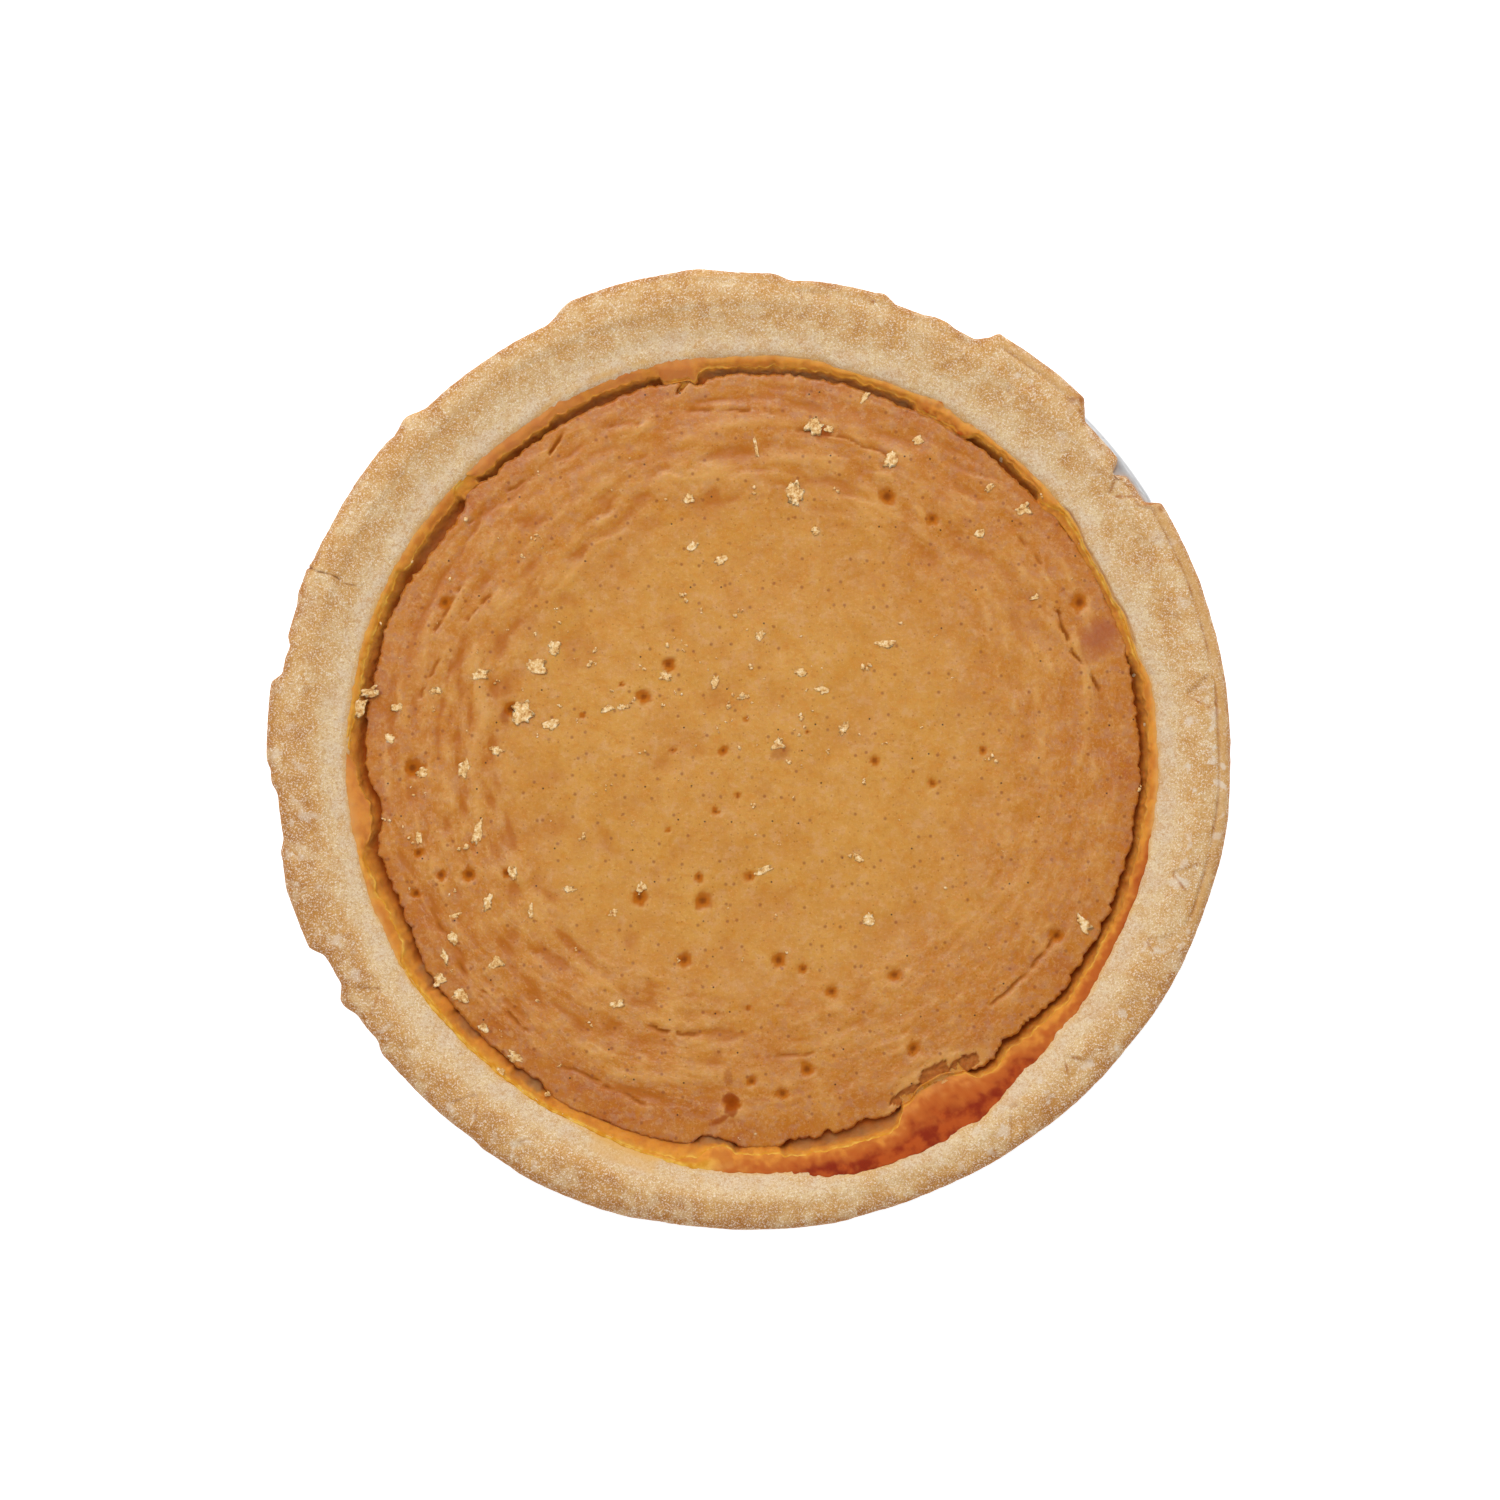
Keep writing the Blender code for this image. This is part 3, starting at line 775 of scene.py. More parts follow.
def tin_rings(angle):
    """Section of the tin, from the middle of its underside round to its inside."""
    flat = np.zeros_like(angle)
    rim_r = TIN_RIM_R - 0.05 + dents(angle, RIM_DENTS)
    bead_r = rim_r - TIN_BEAD_R
    bead_z = TIN_HEIGHT - TIN_BEAD_R - 0.02
    flange = TIN_HEIGHT - 0.5

    def wall(z, skin):
        return tin_wall_radius(z) + skin + flat, z + flat

    def ring(radius, z):
        return radius + flat, z + flat

    rings = [ring(20.0, 0.0), ring(78.0, 0.0), ring(81.6, 0.0), ring(83.6, 0.5),
             wall(TIN_CORNER, TIN_FOIL), wall(6.0, TIN_FOIL), wall(14.0, TIN_FOIL),
             wall(22.0, TIN_FOIL), wall(27.6, TIN_FOIL), ring(105.2, flange - 0.9),
             ring(106.6, flange - TIN_FOIL), ring(bead_r - 1.3, flange - TIN_FOIL)]
    for side in range(-150, 91, 40):
        turn = math.radians(side)
        rings.append(ring(bead_r + TIN_BEAD_R * math.cos(turn),
                          bead_z + TIN_BEAD_R * math.sin(turn)))
    rings += [ring(bead_r - 1.6, flange), ring(106.2, flange), ring(104.6, flange - 0.6),
              wall(27.6, 0.0), wall(14.0, 0.0), wall(TIN_CORNER, 0.0), ring(80.0, TIN_FOIL)]
    return rings


class PieTinSettings(bpy.types.PropertyGroup):
    """What a user would change on the tin."""
    foil_colour: FloatVectorProperty(
        name="Foil colour", description="Colour of the bare aluminium", subtype="COLOR",
        size=4, min=0.0, max=1.0, default=linear("#F1F1F2"))
    pleat_depth: FloatProperty(
        name="Pleat depth", description="How far each pleat of the wall stands from its mean",
        unit="LENGTH", default=TIN_PLEAT_DEPTH * MM)


class PieCrustSettings(bpy.types.PropertyGroup):
    """What a user would change on the crust."""
    grain_height: FloatProperty(
        name="Grain height", description="Height of the pastry's sandy grain",
        unit="LENGTH", default=0.13 * MM)
    mark_depth: FloatProperty(
        name="Mark depth", description="Depth of the V marks pressed in the rim",
        unit="LENGTH", default=0.45 * MM)


class PieCustardSettings(bpy.types.PropertyGroup):
    """What a user would change on the custard."""
    custard_colour: FloatVectorProperty(
        name="Custard colour", description="Skin in the middle of the pie", subtype="COLOR",
        size=4, min=0.0, max=1.0, default=linear("#C68C3B"))
    edge_colour: FloatVectorProperty(
        name="Edge colour", description="Skin beside the crack, baked darker", subtype="COLOR",
        size=4, min=0.0, max=1.0, default=linear("#B66D1E"))
    wrinkle_height: FloatProperty(
        name="Wrinkle height", description="Height of the steps in the sunken skin",
        unit="LENGTH", default=0.5 * MM)


class PieCrumbSettings(bpy.types.PropertyGroup):
    """What a user would change on the crumbs."""
    small_crumbs: IntProperty(
        name="Small crumbs", description="How many small crumbs lie on the custard", default=330)
    seed: IntProperty(name="Seed", description="Another scatter of small crumbs", default=11)


class PIE_OT_foil_tin(bpy.types.Operator):
    """Build the pressed foil tin"""
    bl_idname = "pie.foil_tin"
    bl_label = "Foil tin"

    def execute(self, context):
        settings = context.scene.pie_tin
        last = len(tin_rings(np.zeros(1))) - 1
        stations = spread([(0, 3, 4), (3, 9, 18), (9, 12, 6), (12, 18, 12), (18, last, 10)])
        piece, angle, along, spots = swept("foil_tin_shell", stations, TIN_STEPS, tin_rings, True)
        height = spots[:, 2]
        fold = np.cos(np.radians(angle) * TIN_PLEATS + 0.5 * noise(arc_points(angle), 30.0, 2))
        fold = np.sign(fold) * np.abs(fold) ** 0.7
        strength = smooth((height - 2.6) / 3.0) * smooth((28.6 - height) / 2.5)
        strength *= 0.85 + 0.3 * noise(arc_points(angle), 12.0, 8)
        depth = settings.pleat_depth / MM * np.minimum(strength, 1.0) * fold
        dent = 0.12 * rough(spots, 9.0, 12) * smooth((height - 1.0) / 3.0)
        dent *= smooth((TIN_RIM_R - 3.0 - np.hypot(spots[:, 0], spots[:, 1])) / 2.0)
        turn = np.radians(angle)
        shift = np.stack([np.cos(turn), np.sin(turn), 0.0 * turn], axis=1)
        spots = spots + shift * (depth + dent)[:, None]
        spots[:, 2] = np.maximum(spots[:, 2], 0.0)
        place(piece.data, spots * MM)
        # Painted shade: greyer on the wall below the flange and on the bead's underside and outer side, darker in
        # the pleats' grooves.
        wall = np.maximum(smooth((27.8 - height) / 1.2), 0.75 * smooth((16.4 - along) / 2.0))
        paint(piece.data, wall=wall,
              groove=smooth(-fold) * np.minimum(strength, 1.0))
        weld(piece)
        piece.data.materials.append(pressed_foil(settings))
        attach(piece, "root")
        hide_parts("foil_tin")
        return {"FINISHED"}


def crust_rings(angle):
    """Section of the crust, from its underside out over the flange and in to its base."""
    flat = np.zeros_like(angle)
    under = TIN_HEIGHT + GAP
    base = TIN_FOIL + GAP
    base_top = base + CRUST_BASE
    edge = edge_radius(angle)
    sag = smooth((edge - TIN_RIM_R - 0.6) / 1.8)
    lift = crest_lift(angle)
    outside = TIN_PLEAT_DEPTH + GAP

    def ring(radius, z):
        return radius + flat, z + flat

    return [
        ring(TIN_BASE_R - TIN_CORNER - 1.0, base),
        ring(tin_wall_radius(4.0) - outside, 4.0),
        ring(tin_wall_radius(26.2) - outside, 26.2),
        ring(TIN_WALL_TOP_R + 0.6, under),
        ring(TIN_RIM_R - 2.0 * TIN_BEAD_R - 0.4, under),
        ring(np.minimum(TIN_RIM_R + 0.6, edge - 1.0), under),
        ring(edge - 0.6, under + 0.6 - CRUST_DROOP * sag),
        ring(edge, under + 2.0 - 0.6 * sag),
        ring(edge - 0.8, under + 3.3 - 0.4 * sag + 0.5 * lift),
        ring(CRUST_CREST_R + 0.45 * (edge - CRUST_CREST_R), CRUST_TOP - 0.2 + lift),
        ring(CRUST_CREST_R - 1.2, CRUST_TOP + lift),
        ring(CRUST_SLOPE_TOP_R, CRUST_SLOPE_TOP + 0.4 * lift),
        ring(0.5 * (CRUST_SLOPE_TOP_R + foot_radius(angle)),
             0.5 * (CRUST_SLOPE_TOP + CRUST_SLOPE_FOOT) + 0.1),
        ring(foot_radius(angle), CRUST_SLOPE_FOOT),
        ring(crust_inside_radius(angle, base_top + 2.6), base_top + 2.6),
        ring(crust_inside_radius(angle, base_top) - 2.4, base_top),
    ]


def crowd_at_split(angle):
    """Draw the steps together round the hairline split, where detail is finest."""
    away = (angle - HAIRLINE + 180.0) % 360.0 - 180.0
    return (angle - 0.7 * away * np.exp(-(away / 3.0) ** 2)) % 360.0


def pressed_marks(angle, radius):
    """V marks of the rim: how far inside one a point is, and how near its crease."""
    near = np.round((angle - MARK_FIRST) / MARK_STEP)
    away = np.abs(angle - MARK_FIRST - near * MARK_STEP) * math.pi / 180.0 * radius
    half = np.clip((radius - 106.6) * 0.66, 0.0, 4.4)
    shown = dents(angle, MARK_PARTS) * (0.7 + 0.5 * np.cos(near * 2.3))
    window = smooth((radius - 106.6) / 0.8) * smooth((113.8 - radius) / 1.6)
    inside = smooth((half - away) / 0.7) * window
    crease = np.exp(-((away - half) / 0.5) ** 2) * window
    return inside * shown, crease * shown


class PIE_OT_crust(bpy.types.Operator):
    """Build the baked pastry crust"""
    bl_idname = "pie.crust"
    bl_label = "Pastry crust"

    def execute(self, context):
        settings = context.scene.pie_crust
        stations = spread([(0, 4, 4), (4, 6, 6), (6, 8, 10), (8, 9, 9), (9, 10, 7), (10, 11, 5),
                           (11, 13, 24), (13, 15, 2)])
        piece, angle, along, spots = swept("pastry_crust", stations, CRUST_STEPS, crust_rings,
                                           True, crowd_at_split)
        radius = np.hypot(spots[:, 0], spots[:, 1])
        edge = edge_radius(angle)
        shown = smooth((along - 4.6) / 0.8) * smooth((13.4 - along) / 0.4)
        top = smooth((along - 7.6) / 0.8) * smooth((11.9 - along) / 0.8)
        inset = edge - radius

        grain = rough(spots, 1.5, 21, 3, 0.6)
        swell = rough(spots, 7.0, 22, 2)
        calm = 1.0 - 0.6 * smooth((1.6 - inset) / 1.4)
        amount = calm * (settings.grain_height / MM * grain + 0.16 * swell)
        amount += 0.2 * noise(arc_points(angle), 14.0, 23)
        inside, crease = pressed_marks(angle, radius)
        depth = settings.mark_depth / MM
        amount -= top * (depth * inside + 0.6 * depth * crease)
        roll = dents(angle, ROLL_PARTS) * top
        wander = 0.35 * noise(arc_points(angle), 8.0, 24)
        roll *= smooth(1.0 + 0.8 * noise(arc_points(angle), 9.0, 38))
        groove = np.exp(-((inset - 2.9 + wander) / 0.5) ** 2)
        amount -= 0.5 * roll * groove
        amount += 0.2 * roll * np.exp(-((inset - 1.5) / 0.9) ** 2)
        ragged = np.exp(-((along - 7.2) / 0.9) ** 2)
        amount += 0.08 * ragged * rough(spots, 3.2, 25)
        away = ((angle - HAIRLINE + 180.0) % 360.0 - 180.0) * math.pi / 180.0 * radius
        path = 0.9 * noise(np.stack([radius, radius * 0.0, radius * 0.0], axis=1), 3.5, 26)
        path += 0.35 * noise(np.stack([radius, radius * 0.0, radius * 0.0], axis=1), 1.3, 27)
        width = 0.15 + 0.2 * smooth((radius - 112.0) / 4.0)
        length = smooth((radius - 103.0) / 1.5) * smooth((along - 6.0) / 1.0)
        split = np.exp(-((away - path) / width) ** 2) * length
        split *= smooth(0.75 + noise(np.stack([radius, radius * 0.0, radius * 0.0], axis=1), 1.6, 30))
        amount -= 0.4 * split
        push_out(piece.data, np.clip(amount, -1.2, 0.22) * shown)

        side = dents(angle, ((190.0, 310.0, 0.2, 30.0), (20.0, 130.0, -0.07, 30.0)))
        beside = radius - meet_radius(angle)
        brown = 0.08 + 0.5 * smooth((beside - 2.0) / 7.2) + 0.4 * smooth((3.0 - inset) / 3.0)
        rolled = roll * smooth((3.0 - inset) / 0.8)
        brown += side * smooth((radius - 104.0) / 8.0)
        brown += 0.24 * rough(spots, 6.0, 28) + 0.16 * noise(spots, 2.0, 29)
        patches = smooth(rough(spots, 4.0, 31) * 2.2 - 0.55) * top
        where = dents(angle, ((180.0, 240.0, 0.6, 12.0), (300.0, 358.0, 0.7, 12.0),
                              (0.0, 60.0, 0.5, 12.0)))
        flour = np.clip(0.42 * inside * (0.6 + noise(spots, 1.6, 32)) + where * patches, 0.0, 1.0)
        curl = dents(angle, ((30.4, 32.0, 0.9, 0.8), (45.6, 47.0, 0.8, 0.8)))
        # Painted shade in the V marks' creases, in the roll's groove and beside the lip from 16 to 37 degrees;
        # brown at two curls of the edge and real brown spots near it.
        scorch = crease * (0.65 + 0.6 * noise(spots, 2.0, 33)) * top
        scorch += 0.7 * roll * np.exp(-((inset - 2.9 + wander) / 0.45) ** 2) * (
            0.75 + 0.6 * noise(spots, 3.0, 37))
        scorch += dents(angle, ((16.0, 37.0, 0.9, 2.0),)) * np.exp(-((beside - 0.3) / 0.45) ** 2)
        scorch += curl * smooth((3.4 - inset) / 2.0) * (0.7 + 0.8 * noise(spots, 1.2, 39))
        scorch += smooth(noise(spots, 1.8, 35) * 3.0 - 1.6) * smooth((7.0 - inset) / 4.0) * 0.8
        smear = np.exp(-(beside / 0.9) ** 2) * (0.5 + 0.4 * noise(arc_points(angle), 5.0, 36))
        smear += dents(angle, ((248.5, 256.5, 0.6, 2.0),)) * smooth((6.0 - beside) / 3.0)
        paint(piece.data, brown=np.clip(brown, 0.0, 1.0), flour=flour, rolled=rolled,
              scorch=np.clip(scorch, 0.0, 1.0), smear=np.clip(smear, 0.0, 1.0), split=split)
        weld(piece)
        piece.data.materials.append(shortcrust(settings))
        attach(piece, "root")
        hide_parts("crust")
        return {"FINISHED"}


def folds(angle, radius, pitch, seed):
    """Folds that drop sharply into a crease going outwards and then rise slowly."""
    warp = 0.8 * noise(polar_points(angle, radius, 5.4 * pitch, 4.0 * pitch), 1.0, seed)
    warp += 0.5 * noise(polar_points(angle, radius, 2.0 * pitch, 1.5 * pitch), 1.0, seed + 1)
    warp += 0.17 * noise(polar_points(angle, radius, 0.8 * pitch, 0.8 * pitch), 1.0, seed + 2)
    phase = radius / pitch + warp
    part = phase - np.floor(phase)
    sharp = 0.08 + 0.25 * smooth(0.5 + 1.3 * noise(polar_points(angle, radius, 14.0, 8.0), 1.0,
                                                  seed + 3))
    patch = noise(polar_points(angle, radius, 2.6 * pitch, pitch), 1.0, seed + 4)
    return smooth(0.3 + 1.4 * patch) * (part - smooth((part - 1.0 + sharp) / sharp) - 0.3)


def wrinkled(angle, radius):
    """Height of the sunken skin's folds and dimples, 1 for a full fold."""
    upper = 0.2 + 0.75 * smooth(0.35 + 0.9 * np.sin(np.radians(angle)))
    upper = np.maximum(upper, dents(angle, ((150.0, 262.0, 0.8, 16.0),)))
    belt = smooth((radius - 56.0) / 9.0) * smooth((91.5 - radius) / 3.0)
    height = 0.6 * upper * folds(angle, radius, 7.0, 41) + 0.2 * folds(angle, radius, 3.8, 141)
    height += 0.75 * upper * rough(polar_points(angle, radius, 22.0, 7.0), 1.0, 49, 2)
    height += 0.14 * rough(polar_points(angle, radius, 6.0, 2.6), 1.0, 149, 2)
    return belt * height


def cavity(height, u, v, reach):
    """How far each point of a square grid lies below its surroundings, in mm."""
    count = DISC_CELLS + 1
    column = np.round((u + 1.0) * 0.5 * DISC_CELLS).astype(int)
    row = np.round((v + 1.0) * 0.5 * DISC_CELLS).astype(int)
    sheet = np.zeros((count, count))
    sheet[row, column] = height
    soft = sheet
    for _ in range(3):
        for axis in (0, 1):
            padded = np.pad(soft, [(reach, reach) if k == axis else (0, 0) for k in (0, 1)], "edge")
            total = np.cumsum(padded, axis=axis)
            total = np.insert(total, 0, 0.0, axis=axis)
            ends = np.arange(count) + 2 * reach + 1
            soft = (np.take(total, ends, axis) - np.take(total, ends - 2 * reach - 1, axis)) / (
                2.0 * reach + 1.0)
    return (soft - sheet)[row, column]


def crease_field(angle, radius):
    """Fine creases of the skin, as a depth."""
    arc = arc_points(angle)
    wander = 0.9 * noise(arc, 6.0, 45) + 0.22 * noise(arc, 1.6, 46)
    broken = smooth(0.9 + 1.4 * noise(arc, 3.0, 50))
    total = np.zeros_like(angle)
    for start, end, r_start, r_end, depth in CREASES:
        share = ((angle - start + 180.0) % 360.0 - 180.0) / (end - start)
        line = r_start + (r_end - r_start) * np.clip(share, 0.0, 1.0) + wander
        ends = smooth(share / 0.12) * smooth((1.0 - share) / 0.12)
        away = radius - line
        total += 0.85 * depth * ends * np.exp(-(away / np.where(away > 0.0, 0.8, 0.26)) ** 2)
    return broken * total


def disc_surface(x, y):
    """Height of the custard disc and the fields that colour it."""
    radius = np.hypot(x, y)
    angle = np.degrees(np.arctan2(y, x)) % 360.0
    flat = np.stack([x, y, 0.0 * x], axis=1)
    height = DISC_CENTRE_Z + (DISC_EDGE_Z - DISC_CENTRE_Z) * smooth((radius - 38.0) / 52.0)
    height += 0.3 * noise(flat, 30.0, 51) + 0.16 * noise(flat, 12.0, 52)
    height += 0.07 * noise(flat, 5.0, 56) + 0.03 * noise(flat, 1.8, 55)
    wrinkle = bpy.context.scene.pie_custard.wrinkle_height / MM
    height += 1.15 * wrinkle * wrinkled(angle, radius)
    streaky = smooth((radius - 54.0) / 14.0) * smooth((93.0 - radius) / 4.0)
    streaky *= np.clip(0.35 + dents(angle, ((196.0, 256.0, 0.6, 14.0), (150.0, 196.0, 0.2, 10.0),
                                            (292.0, 375.0, 0.3, 15.0))), 0.0, 1.0)
    streak = 1.0 - 2.4 * np.abs(noise(polar_points(angle, radius, 11.0, 3.4), 1.0, 53))
    streak += 0.35 * noise(polar_points(angle, radius, 5.0, 1.8), 1.0, 54)
    height += 0.28 * wrinkle * streaky * np.clip(streak, -0.6, 1.0)
    crease = crease_field(angle, radius)
    height -= crease

    pit = np.zeros_like(x)
    for px, py, pr in PITS:
        near = np.hypot(x - px, y - py) < 4.0 * pr
        far = np.full_like(x, 9.0)
        far[near] = np.hypot(x - px, y - py)[near] / pr * (
            1.0 + 0.35 * noise(flat[near], 1.3 * pr, 63) + 0.2 * noise(flat[near], 0.6 * pr, 64))
        bowl = np.exp(-(far * 1.15) ** 2)
        height += pr * (0.05 * np.exp(-((far - 1.5) / 0.5) ** 2) - 0.5 * bowl)
        pit = np.maximum(pit, bowl)
    stain = np.zeros_like(x)
    for sx, sy, half_long, half_wide, turn, strength in STAINS:
        c, s = math.cos(math.radians(turn)), math.sin(math.radians(turn))
        across = np.hypot(((x - sx) * c + (y - sy) * s) / half_long,
                          ((y - sy) * c - (x - sx) * s) / half_wide)
        across += 0.35 * noise(flat, 2.0, 57) + 0.2 * noise(flat, 0.8, 66)
        stain = np.maximum(stain, strength * smooth((1.25 - across) / 0.7))

    torn = np.zeros_like(x)
    for at, middle, half_long, half_wide in TEARS:
        along = ((angle - at + 180.0) % 360.0 - 180.0) * math.pi / 180.0 * radius
        reach = (along / half_long) ** 2 + ((radius - middle) / half_wide) ** 2
        torn = np.maximum(torn, smooth((1.15 - reach + 0.7 * noise(flat, 1.6, 58)) / 0.25))
    height -= torn * (0.9 + 0.6 * rough(flat, 1.6, 59, 2))
    rim = disc_edge(angle) - radius
    height -= 0.5 * smooth((0.8 - rim) / 0.8) ** 2

    warm = smooth((radius - 40.0) / 54.0) + 0.3 * noise(flat, 16.0, 60)
    blush = 0.55 + 0.8 * noise(flat, 14.0, 62) + dents(angle, ((203.0, 262.0, 0.4, 12.0),))
    blush = smooth((radius - 83.0) / 8.0) * smooth(blush)
    blister = np.hypot(((x - 85.2) * 0.5 + (y - 27.6) * 0.87) / 5.6,
                       ((y - 27.6) * 0.5 - (x - 85.2) * 0.87) / 3.6) + 0.5 * noise(flat, 4.0, 65)
    return height, {
        "warm": np.clip(warm, 0.0, 1.0), "blush": blush,
        "blister": 0.75 * smooth((1.35 - blister) / 1.0),
        "crease": np.clip(crease * 1.8, 0.0, 1.0), "pit": pit,
        "stain": np.clip(stain, 0.0, 1.0), "torn": torn, "streaky": streaky,
    }


class PIE_OT_custard_disc(bpy.types.Operator):
    """Build the sunken disc of custard"""
    bl_idname = "pie.custard_disc"
    bl_label = "Custard disc"

    def execute(self, context):
        settings = context.scene.pie_custard
        bm = bmesh.new()
        bmesh.ops.create_grid(bm, x_segments=DISC_CELLS, y_segments=DISC_CELLS, size=1.0)
        for depth in range(1, 8):
            rim = [edge for edge in bm.edges if edge.is_boundary]
            made = bmesh.ops.extrude_edge_only(bm, edges=rim)
            for vert in made["geom"]:
                if isinstance(vert, bmesh.types.BMVert):
                    vert.co.z = -float(depth)
        bmesh.ops.holes_fill(bm, edges=[edge for edge in bm.edges if edge.is_boundary])
        piece = to_object(bm, "custard_disc")

        spots = places(piece.data)
        u, v, depth = spots[:, 0], spots[:, 1], -spots[:, 2]
        x = u * np.sqrt(1.0 - 0.5 * v * v)
        y = v * np.sqrt(1.0 - 0.5 * u * u)
        share = np.hypot(x, y)
        share = share * (1.0 + 0.16 * (1.0 - share ** 2))
        angle = np.degrees(np.arctan2(y, x)) % 360.0
        smooth_edge = disc_edge(angle, 0.0)
        radius = share * smooth_edge + (disc_edge(angle) - smooth_edge) * smooth((share - 0.9) / 0.1)
        turn = np.radians(angle)
        x, y = radius * np.cos(turn), radius * np.sin(turn)
        height, fields = disc_surface(x, y)
        below = depth > 0.5
        drop = np.array([0.0, 0.35, 0.8, 1.4, 2.1, 3.0, 4.2, 9.0])[np.round(depth).astype(int)]
        flat = np.stack([x, y, drop * 1.5], axis=1)
        inward = np.where(below, 0.1 + CRACK_LEAN * drop + 0.3 * rough(flat, 1.6, 61), 0.0)
        x, y = (radius - inward) * np.cos(turn), (radius - inward) * np.sin(turn)
        z = np.where(depth > 6.5, DISC_EDGE_Z - drop[below].max(), height - drop)
        place(piece.data, np.stack([x, y, z], axis=1) * MM)
        upper = ~below
        sunk = np.zeros_like(x)
        level = height[upper] + 0.5 * smooth((0.8 - (disc_edge(angle) - radius)[upper]) / 0.8) ** 2
        sunk[upper] = cavity(level, u[upper], v[upper], 5) * smooth((1.0 - fields["pit"][upper]) * 2.0)
        # Painted shade in the hollows, stronger on the left half of the pie.
        fields["hollow_shade"] = np.clip(sunk / 0.18, 0.0, 1.0) * (0.75 - 0.25 * np.cos(turn))
        # Painted highlight on the crests.
        fields["ridge_highlight"] = np.clip(-sunk / 0.25, 0.0, 1.0)
        fields["torn"] = np.where(below, smooth(depth / 1.5), fields["torn"])
        # Painted shade: the disc's torn side is painted darker the further down the crack it reaches.
        fields["deep"] = smooth((drop - 0.6) / 2.4)
        fields["dull"] = np.maximum.reduce([fields["torn"], fields["deep"], fields["crease"],
                                            smooth(fields["pit"] * 2.0), 0.7 * fields["stain"]])
        paint(piece.data, **fields)
        weld(piece)
        piece.data.materials.append(baked_custard(settings))
        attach(piece, "root")
        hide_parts("filling")
        return {"FINISHED"}


def lip_numbers(angle):
    """Lines of the lip at each angle: disc, crack's width, its far side, edge and end."""
    arc = arc_points(angle)
    inner = disc_edge(angle, 0.0)
    gap = gap_width(angle)
    gap = np.maximum(0.0, gap + smooth(gap) * (0.45 * noise(arc, 7.0, 71) + 0.35 * noise(arc, 1.8, 72)))
    outer = inner + gap
    wall = WALL_MEAN + dents(angle, WALL_DENTS) + 0.35 * noise(arc, 6.0, 73)
    tongue = dents(angle, ((297.0, 300.5, 2.2, 3.0),))
    ragged = 0.3 * noise(arc, 2.2, 74) + 0.25 * noise(arc, 0.9, 77)
    edge = outer + np.maximum(0.25, wall) + ragged - tongue
    meet = meet_radius(angle) + 0.35 * noise(arc, 5.0, 75) + 0.2 * noise(arc, 1.6, 76)
    return inner, gap, np.minimum(outer - tongue, meet - 1.4), np.minimum(edge, meet - 0.7), meet


def lip_rings(angle):
    """Closed section of the lip: the crack's floor, its wall, the top and the underside."""
    inner, gap, outer, edge, meet = lip_numbers(angle)
    depth = (DISC_EDGE_Z - 0.6 - CRACK_FLOOR) * smooth(gap / 1.3)
    depth *= 1.0 - 0.75 * dents(angle, GREY_PARTS)
    floor = DISC_EDGE_Z - 0.6 - depth
    lean = CRACK_LEAN * (DISC_EDGE_Z - floor)
    crown = slope_height(angle, meet) + 0.1 + 0.15 * smooth(dents(angle, OVERRUNS))
    fall = LIP_FALL * (meet - edge)
    top = crown - fall - 0.5
    knee = 0.5 * (edge + meet)

    def ring(radius, z):
        return np.minimum(radius, crust_inside_radius(angle, z) - 0.3), z

    return [
        ring(inner - lean - 2.2, floor - 0.5),
        ring(inner - lean, floor),
        ring(0.5 * (inner + outer) - lean, floor + 0.1),
        ring(outer - 0.8 * lean, floor + 0.5),
        ring(0.6 * outer + 0.4 * edge - 0.15 * lean, 0.45 * floor + 0.55 * top),
        ring(edge - 0.05, top),
        (edge + 0.35, top + 0.35),
        (knee, np.maximum(crown - 0.45 * fall + 0.05, slope_height(angle, knee) + 0.25)),
        (meet, crown - 0.05),
        (meet + 0.3, slope_height(angle, meet + 0.3) - 0.3),
        (foot_radius(angle) + 0.1, CRUST_SLOPE_FOOT - 0.4 + 0.0 * angle),
        (crust_inside_radius(angle, 21.0) + 0.1, 21.0 + 0.0 * angle),
        (inner - lean - 3.4, 21.0 + 0.0 * angle),
        ring(inner - lean - 2.2, floor - 0.5),
    ]


